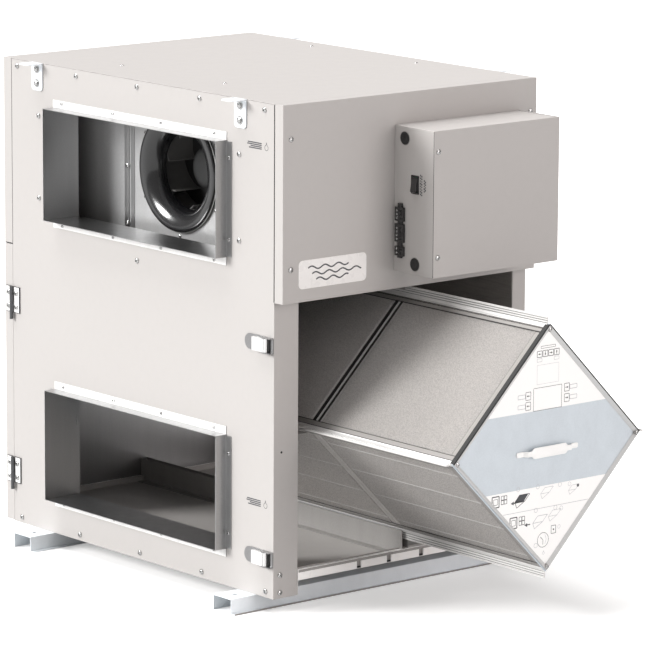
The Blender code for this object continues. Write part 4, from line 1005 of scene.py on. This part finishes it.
def fan(side):
    here = fan_frame(side)
    low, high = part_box(f"inlet_ring_{side}")
    near, far = sorted((abs(low.x - CORE_X), abs(high.x - CORE_X)))
    rim = (high.y - low.y) / 2
    bell, throat, wall = rim - 0.008, 0.092, 0.003
    depth = far - near
    curve = [(bell - (bell - throat - w) * math.cos(t), near + (depth - w) * math.sin(t), w)
             for w in (0.0, wall) for t in [math.pi / 2 * i / 16 for i in range(17)]]
    inside = [(r, h) for r, h, w in curve if w == 0.0]
    outside = [(r, h) for r, h, w in curve if w]
    edge = [(rim - 0.0035, far - 0.0003), (rim - 0.0015, far - 0.0014), (rim - 0.0004, far - 0.0034), (rim, far - 0.006)]
    edge += [(rim, near + 0.030), (rim - wall, near + 0.030), (rim - wall, far - wall - 0.001)]
    bm = bmesh.new()
    add_turned(bm, inside + edge + outside[::-1], here, 96)
    made = piece(f"fan_bell_{side}", bm, BLACK, "cabinet", smooth=40)
    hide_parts(f"inlet_ring_{side}")
    # a thin pale ring at the bell's rolled rim: a painted highlight
    bm = bmesh.new()
    highlight_ring, thick = rim + 0.0006, 0.0011
    loop = [(highlight_ring + thick * math.cos(2 * math.pi * k / 10), far - 0.0072 + thick * math.sin(2 * math.pi * k / 10)) for k in range(10)]
    add_turned(bm, loop, here, 96)
    piece(f"fan_bell_painted_highlight_{side}", bm, PALE_SEAL_AND_HIGHLIGHT, "cabinet", smooth=60)
    impeller(side, here)
    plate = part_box(f"fan_bulkhead_{side}")
    face = plate[0].x if side == "left" else plate[1].x
    normal = LEFT if side == "left" else RIGHT
    places = []
    for k in range(6):
        a = math.pi / 6 + math.pi / 3 * k
        places.append((face, FAN_Y + (rim + 0.010) * math.cos(a), FAN_Z + (rim + 0.010) * math.sin(a)))
    screws(f"bell_screws_{side}", places, normal, "cabinet", SMALL_HEAD)
    seam_y = SERVICE_Y + 0.718 if side == "left" else mirrored(SERVICE_Y + 0.718)
    bm = bmesh.new()
    for offset, width, proud in ((0.0, 0.014, 0.0016), (0.016, 0.005, 0.0030), (0.026, 0.012, 0.0016)):
        y0 = seam_y + offset * (1 if side == "left" else -1)
        add_box(bm, (face + normal.x * proud, y0 - width / 2, plate[0].z + 0.004), (face - normal.x * 0.0003, y0 + width / 2, plate[1].z - 0.004))
    piece(f"bulkhead_seam_{side}", bm, ZINC, "cabinet", bevel=0.0006)
    offset = 0.018 if side == "left" else -0.018
    places = [(face + normal.x * 0.0028, seam_y + offset, z) for z in (0.912, 0.772, 1.052)]
    screws(f"bulkhead_screws_{side}", places, normal, "cabinet")


def impeller(side, here):
    low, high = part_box(f"fan_impeller_{side}")
    radius = (high.y - low.y) / 2
    near, far = sorted((abs(low.x - CORE_X), abs(high.x - CORE_X)))
    eye, back = 0.098, near + 0.003
    hub, shroud, bm = bmesh.new(), bmesh.new(), bmesh.new()
    drum = [(0, 0.206), (0.030, 0.206), (0.038, 0.2050), (0.045, 0.2020), (0.0488, 0.1985)]
    drum += [(0.0500, 0.194), (0.0500, back + 0.006), (0.0540, back + 0.0005), (radius, back), (radius, near), (0.0063, near)]
    drum += [(0.0063, 0.190), (0, 0.190)]
    add_turned(hub, drum, here, 64)
    skin = [(eye - 0.001, far), (eye + 0.0015, far - 0.0028)]
    skin += [(eye + (radius - eye) * t, far - 0.004 - (0.0175) * t**0.8) for t in (0.15, 0.4, 0.7, 1.0)]
    skin += [(radius, far - 0.0240)]
    skin += [(eye + (radius - eye) * t - 0.0006, far - 0.0066 - (0.0175) * t**0.8) for t in (0.7, 0.4, 0.15)]
    skin += [(eye - 0.0008, far - 0.0050)]
    add_turned(shroud, skin, here, 64)
    inner, outer, sweep, thick, steps, blades = 0.084, radius - 0.0015, math.radians(62), 0.0026, 12, 7
    slope = (0.229 - 0.251) / (radius - eye)
    for blade in range(blades):
        rows = []
        for i in range(steps + 1):
            share = i / steps
            r = inner + (outer - inner) * share
            angle = 2 * math.pi * blade / blades + 0.32 - sweep * share**1.2
            front = 0.2435 + 0.0045 * share if r < eye + 0.002 else 0.2485 + slope * (r - eye)
            turned = thick / 2 / r
            corners = ((-turned, back - 0.001), (turned, back - 0.001), (turned, front), (-turned, front))
            rows.append([here @ Vector((r * math.cos(angle + a), r * math.sin(angle + a), h)) for a, h in corners])
        add_rings(bm, rows)
    piece(f"fan_hub_{side}", hub, HUB, f"fan_{side}", smooth=38)
    piece(f"fan_shroud_{side}", shroud, BLACK, f"fan_{side}", smooth=38)
    made = piece(f"fan_blades_{side}", bm, LIT_GREY_BLADE, f"fan_{side}", smooth=38)
    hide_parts(f"fan_impeller_{side}")


def hinge_leaf_lit_faces():
    """Painted light and shade on the hinge leaves: a bright copy of the zinc on each leaf's face, with the dark hinge
    zinc left round it as a painted-shade edge.
    """
    sheet, thin, inset = 0.0028, 0.0003, 0.0016
    width, height = 0.024, 0.065
    fixed, swung = bmesh.new(), bmesh.new()
    for level in ("lower", "upper"):
        near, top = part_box(f"rear_hinge_frame_{level}")[0].y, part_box(f"rear_hinge_frame_{level}")[1].z
        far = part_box(f"rear_hinge_door_{level}")[1].y
        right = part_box(f"front_hinge_frame_{level}")[1].y
        for bm, x, y0, y1 in (
            (fixed, LEFT_X - sheet, near, near + width),
            (swung, LEFT_X - sheet, far - width, far),
            (fixed, RIGHT_X + sheet, right - width, right),
        ):
            add_box(bm, (x - thin, y0 + inset, top - height + inset), (x + thin, y1 - inset, top - inset))
    piece("hinge_leaf_lit_faces", fixed, LIT_ZINC_PAINT, "cabinet", bevel=0.0001)
    piece("rear_hinge_leaf_lit_faces", swung, LIT_ZINC_PAINT, "rear_door", bevel=0.0001)


def collar_flange_lit_faces():
    """Painted light on the top and bottom flanges of each duct collar: thin faces in a bright copy of the zinc."""
    flange, sheet, thin = 0.0190, 0.0015, 0.0003
    bm = bmesh.new()
    for side, x, out in (("left", LEFT_X, -1), ("right", RIGHT_X, 1)):
        x0, x1 = sorted((x + out * (sheet - thin), x + out * (sheet + thin)))
        for level in ("upper", "lower"):
            low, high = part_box(f"duct_collar_{level}_{side}")
            for z0, z1 in ((low.z, low.z + flange - thin), (high.z - flange + thin, high.z)):
                add_box(bm, (x0, low.y + flange, z0), (x1, high.y - flange, z1))
    piece("collar_flange_lit_faces", bm, LIT_ZINC_PAINT, "cabinet", bevel=0.0001)


def sill_details():
    """The zinc edge along the top of the front sill, painted shade in its pressings (grey floors and black strips at
    their open lower ends), and a grey strip of painted shade along the foot rail's lower lip.
    """
    low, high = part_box("base_pan")
    grey, dark = bmesh.new(), bmesh.new()
    proud, half, bottom = 0.0004, 0.0064, 0.0352
    add_box(grey, (low.x + 0.002, low.y - proud, high.z - 0.0076), (high.x - 0.002, low.y + proud, high.z - 0.0014))
    for offset in (-0.142, -0.050, 0.050, 0.142):
        x = CORE_X + offset
        # grey groove floors and black open ends: painted shade
        add_box(grey, (x - half, low.y + 0.0050, bottom + 0.0040), (x + half, low.y + 0.0064, high.z - 0.0080))
        add_box(dark, (x - half, low.y + 0.0020, bottom), (x + half, low.y + 0.0064, bottom + 0.0040))
    low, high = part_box("support_rail_front")
    # grey strip on the foot rail's lower lip: painted shade
    add_box(grey, (low.x + 0.001, low.y - proud, low.z + 0.0002), (high.x - 0.001, low.y + proud, low.z + 0.0040))
    piece("sill_edge_and_painted_shade", grey, FRAME_METAL, "cabinet")
    piece("sill_groove_shadows", dark, RUBBER, "cabinet")


def rail_ends():
    """The last of the slotted rail's walls, which close the space between it and the sills."""
    low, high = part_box("core_bottom_rail")
    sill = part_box("base_pan")[1].z
    slot, wall = 0.0085, 0.0015
    bm = bmesh.new()
    for y0, y1 in ((WALL_FRONT + 0.0008, low.y + 0.0010), (high.y - 0.0010, WALL_REAR - 0.0008)):
        for side in (-1, 1):
            x0, x1 = sorted((CORE_X + side * slot, CORE_X + side * (slot + wall)))
            add_box(bm, (x0, y0, sill + 0.0003), (x1, y1, high.z))
    piece("bottom_rail_ends", bm, DECK_ZINC, "cabinet", bevel=0.0003)


def dark_seams():
    """The dark gaps between the sheets of the case: thin black strips set in them as painted shade."""
    bm = bmesh.new()
    wide, proud, sunk = 0.0022, 0.0002, 0.0020
    for x, out in ((LEFT_X, -1), (RIGHT_X, 1)):
        x0, x1 = sorted((x + out * proud, x - out * sunk))
        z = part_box("rear_upper_panel")[0].z
        for y, breadth, bottom in ((WALL_FRONT, wide, DECK_Z + 0.001), (WALL_REAR, -0.5 * wide, z)):
            y0, y1 = sorted((y, y + breadth))
            add_box(bm, (x0, y0, bottom), (x1, y1, TOP_Z - 0.002))
        add_box(bm, (x0, WALL_REAR, z - 0.0004), (x1, BACK_Y - 0.002, z + 0.0012))
    y0, y1, inset = COVER_LOW.y + 0.0014, COVER_LOW.y + 0.0022, 0.0002
    add_box(bm, (BOX_X0 - inset, y0, COVER_LOW.z + 0.001), (BOX_X0 + 0.001, y1, COVER_HIGH.z - 0.001))
    x1 = COVER_HIGH.x - 0.0068
    add_box(bm, (x1 - 0.0014, COVER_LOW.y + 0.004, COVER_HIGH.z - 0.001), (x1, COVER_HIGH.y, COVER_HIGH.z + inset))
    piece("case_seam_shadows", bm, RUBBER, "cabinet")


# ---- hinges and latches ------------------------------------------------------------------------
def hinge_and_latch_details():
    for where in ("front", "rear"):
        latch_side = LEFT if where == "front" else RIGHT
        for level in ("lower", "upper"):
            low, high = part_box(f"{where}_latch_plate_{level}")
            wall = LEFT_X if where == "front" else RIGHT_X
            z = (low.z + high.z) / 2
            edge, toward = (low.y, 1) if where == "front" else (high.y, -1)
            # a black block at the latch: painted shade for the dark gap beside its curl
            bm = bmesh.new()
            y0, y1 = edge + toward * 0.0096, edge + toward * 0.0140
            add_box(bm, (wall + latch_side.x * 0.0026, min(y0, y1), z - 0.0160), (wall + latch_side.x * 0.0064, max(y0, y1), z + 0.0160))
            piece(f"{where}_latch_gap_shade_{level}", bm, RUBBER, "cabinet", bevel=0.0012)
            hinge = f"{'rear' if where == 'rear' else 'front'}_hinge_frame_{level}"
            low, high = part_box(hinge)
            wall, normal = (LEFT_X, LEFT) if where == "rear" else (RIGHT_X, RIGHT)
            y = low.y + 0.0120 if where == "rear" else high.y - 0.0120
            places = [(wall + normal.x * 0.0028, y, high.z - drop) for drop in (0.016, 0.050)]
            screws(f"{hinge}_screws", places, normal, "cabinet")
    for level in ("lower", "upper"):
        low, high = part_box(f"rear_hinge_door_{level}")
        leaf_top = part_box(f"rear_hinge_frame_{level}")[1].z
        places = [(LEFT_X - 0.0028, high.y - 0.0120, leaf_top - drop) for drop in (0.016, 0.050)]
        screws(f"rear_hinge_door_{level}_screws", places, LEFT, "rear_door")
    plug = bmesh.new()
    add_turned(plug, [(0, 0.0006), (0.0022, 0.0005), (0.0028, 0.0001), (0.0028, -0.0004), (0, -0.0004)],
               facing((LEFT_X + 0.023, WALL_FRONT, 0.344), FRONT), 20)
    piece("post_plug", plug, RUBBER, "cabinet", smooth=40)


# ---- stage -------------------------------------------------------------------------------------
def studio_floor():
    """A pale floor that shows a soft shadow, and throws little light back up."""
    made = Finish("studio_floor", "", (0.84, 0.838, 0.834), 0.8)
    made.tint(made.ramp(made.noise(0.8), 0.0, 0.04), (0.80, 0.80, 0.80))
    seen = made.add("ShaderNodeLightPath").outputs["Is Camera Ray"]
    made.tint(made.ramp(seen, 1.0, 0.0), (0.52, 0.52, 0.52))
    made.put(made.shader.inputs["Emission Color"], (1.0, 1.0, 1.0, 1.0))
    made.put(made.shader.inputs["Emission Strength"], made.ramp(seen, 0.0, 0.35))
    return made.done()


def soft_sun(name, toward, strength, spread_angle, color):
    lamp = bpy.data.lights.new(name, "SUN")
    lamp.energy = strength
    lamp.angle = math.radians(spread_angle)
    lamp.color = color
    sun = bpy.data.objects.new(name, lamp)
    sun.rotation_euler = Vector(toward).to_track_quat("Z", "Y").to_euler()
    bpy.context.scene.collection.objects.link(sun)


def floor_and_light():
    bm = bmesh.new()
    half = 60.0
    corners = [bm.verts.new((sx * half, sy * half, FLOOR_Z - 0.0002)) for sx, sy in ((-1, -1), (1, -1), (1, 1), (-1, 1))]
    bm.faces.new(corners)
    mesh = bpy.data.meshes.new("floor")
    bm.to_mesh(mesh)
    bm.free()
    floor = bpy.data.objects.new("floor", mesh)
    bpy.context.scene.collection.objects.link(floor)
    mesh.materials.append(studio_floor().material)
    world = bpy.data.worlds.new("studio")
    world.use_nodes = True
    back = world.node_tree.nodes["Background"]
    back.inputs["Color"].default_value = (1.0, 0.975, 0.960, 1.0)
    back.inputs["Strength"].default_value = 0.36
    bpy.context.scene.world = world
    soft_sun("key", (-0.75, 0.44, 0.39), 4.05, 24, (1.0, 1.0, 0.995))
    soft_sun("top", (-0.10, 0.18, 0.97), 3.2, 40, (1.0, 1.0, 1.0))
    soft_sun("fill", (0.26, -0.92, 0.28), 1.27, 40, (1.0, 0.935, 0.925))
    bpy.context.scene.view_settings.view_transform = "Standard"


def camera():
    """A long lens, a little above the unit, that looks at its left end and its service side."""
    aim = Vector((0.1834, -0.0012, 0.5021))
    azimuth, elevation, roll, distance = (math.radians(39.928), math.radians(10.878), math.radians(0.310), 11.0)
    lens = bpy.data.cameras.new("camera")
    lens.lens = 250.2
    lens.sensor_width = 36.0
    lens.clip_end = 200.0
    view = bpy.data.objects.new("camera", lens)
    ahead = Vector((math.sin(azimuth) * math.cos(elevation), math.cos(azimuth) * math.cos(elevation), -math.sin(elevation)))
    look = ahead.to_track_quat("-Z", "Y").to_matrix().to_4x4()
    view.matrix_world = Matrix.Translation(aim - ahead * distance) @ look @ Matrix.Rotation(roll, 4, "Z")
    bpy.context.scene.collection.objects.link(view)
    bpy.context.scene.camera = view


finish_packed_nodes()
case_screws()
cell_block("core_cells_front", CORE_FRONT + CORE_CAP + BORDER, CORE_MIDDLE - DIVIDER, "core_block_front")
cell_block("core_cells_rear", CORE_MIDDLE + DIVIDER, CORE_REAR - CORE_CAP - BORDER, "core_block_rear")
core_frames()
corner_profiles()
corner_keys()
end_plate_rims()
strap_handle()
end_plate_sheet()
end_wall_labels()
badge()
control_box_details()
board_parts()
for side in ("left", "right"):
    fan(side)
hinge_and_latch_details()
dark_seams()
rail_ends()
sill_details()
collar_flange_lit_faces()
hinge_leaf_lit_faces()
floor_and_light()
camera()
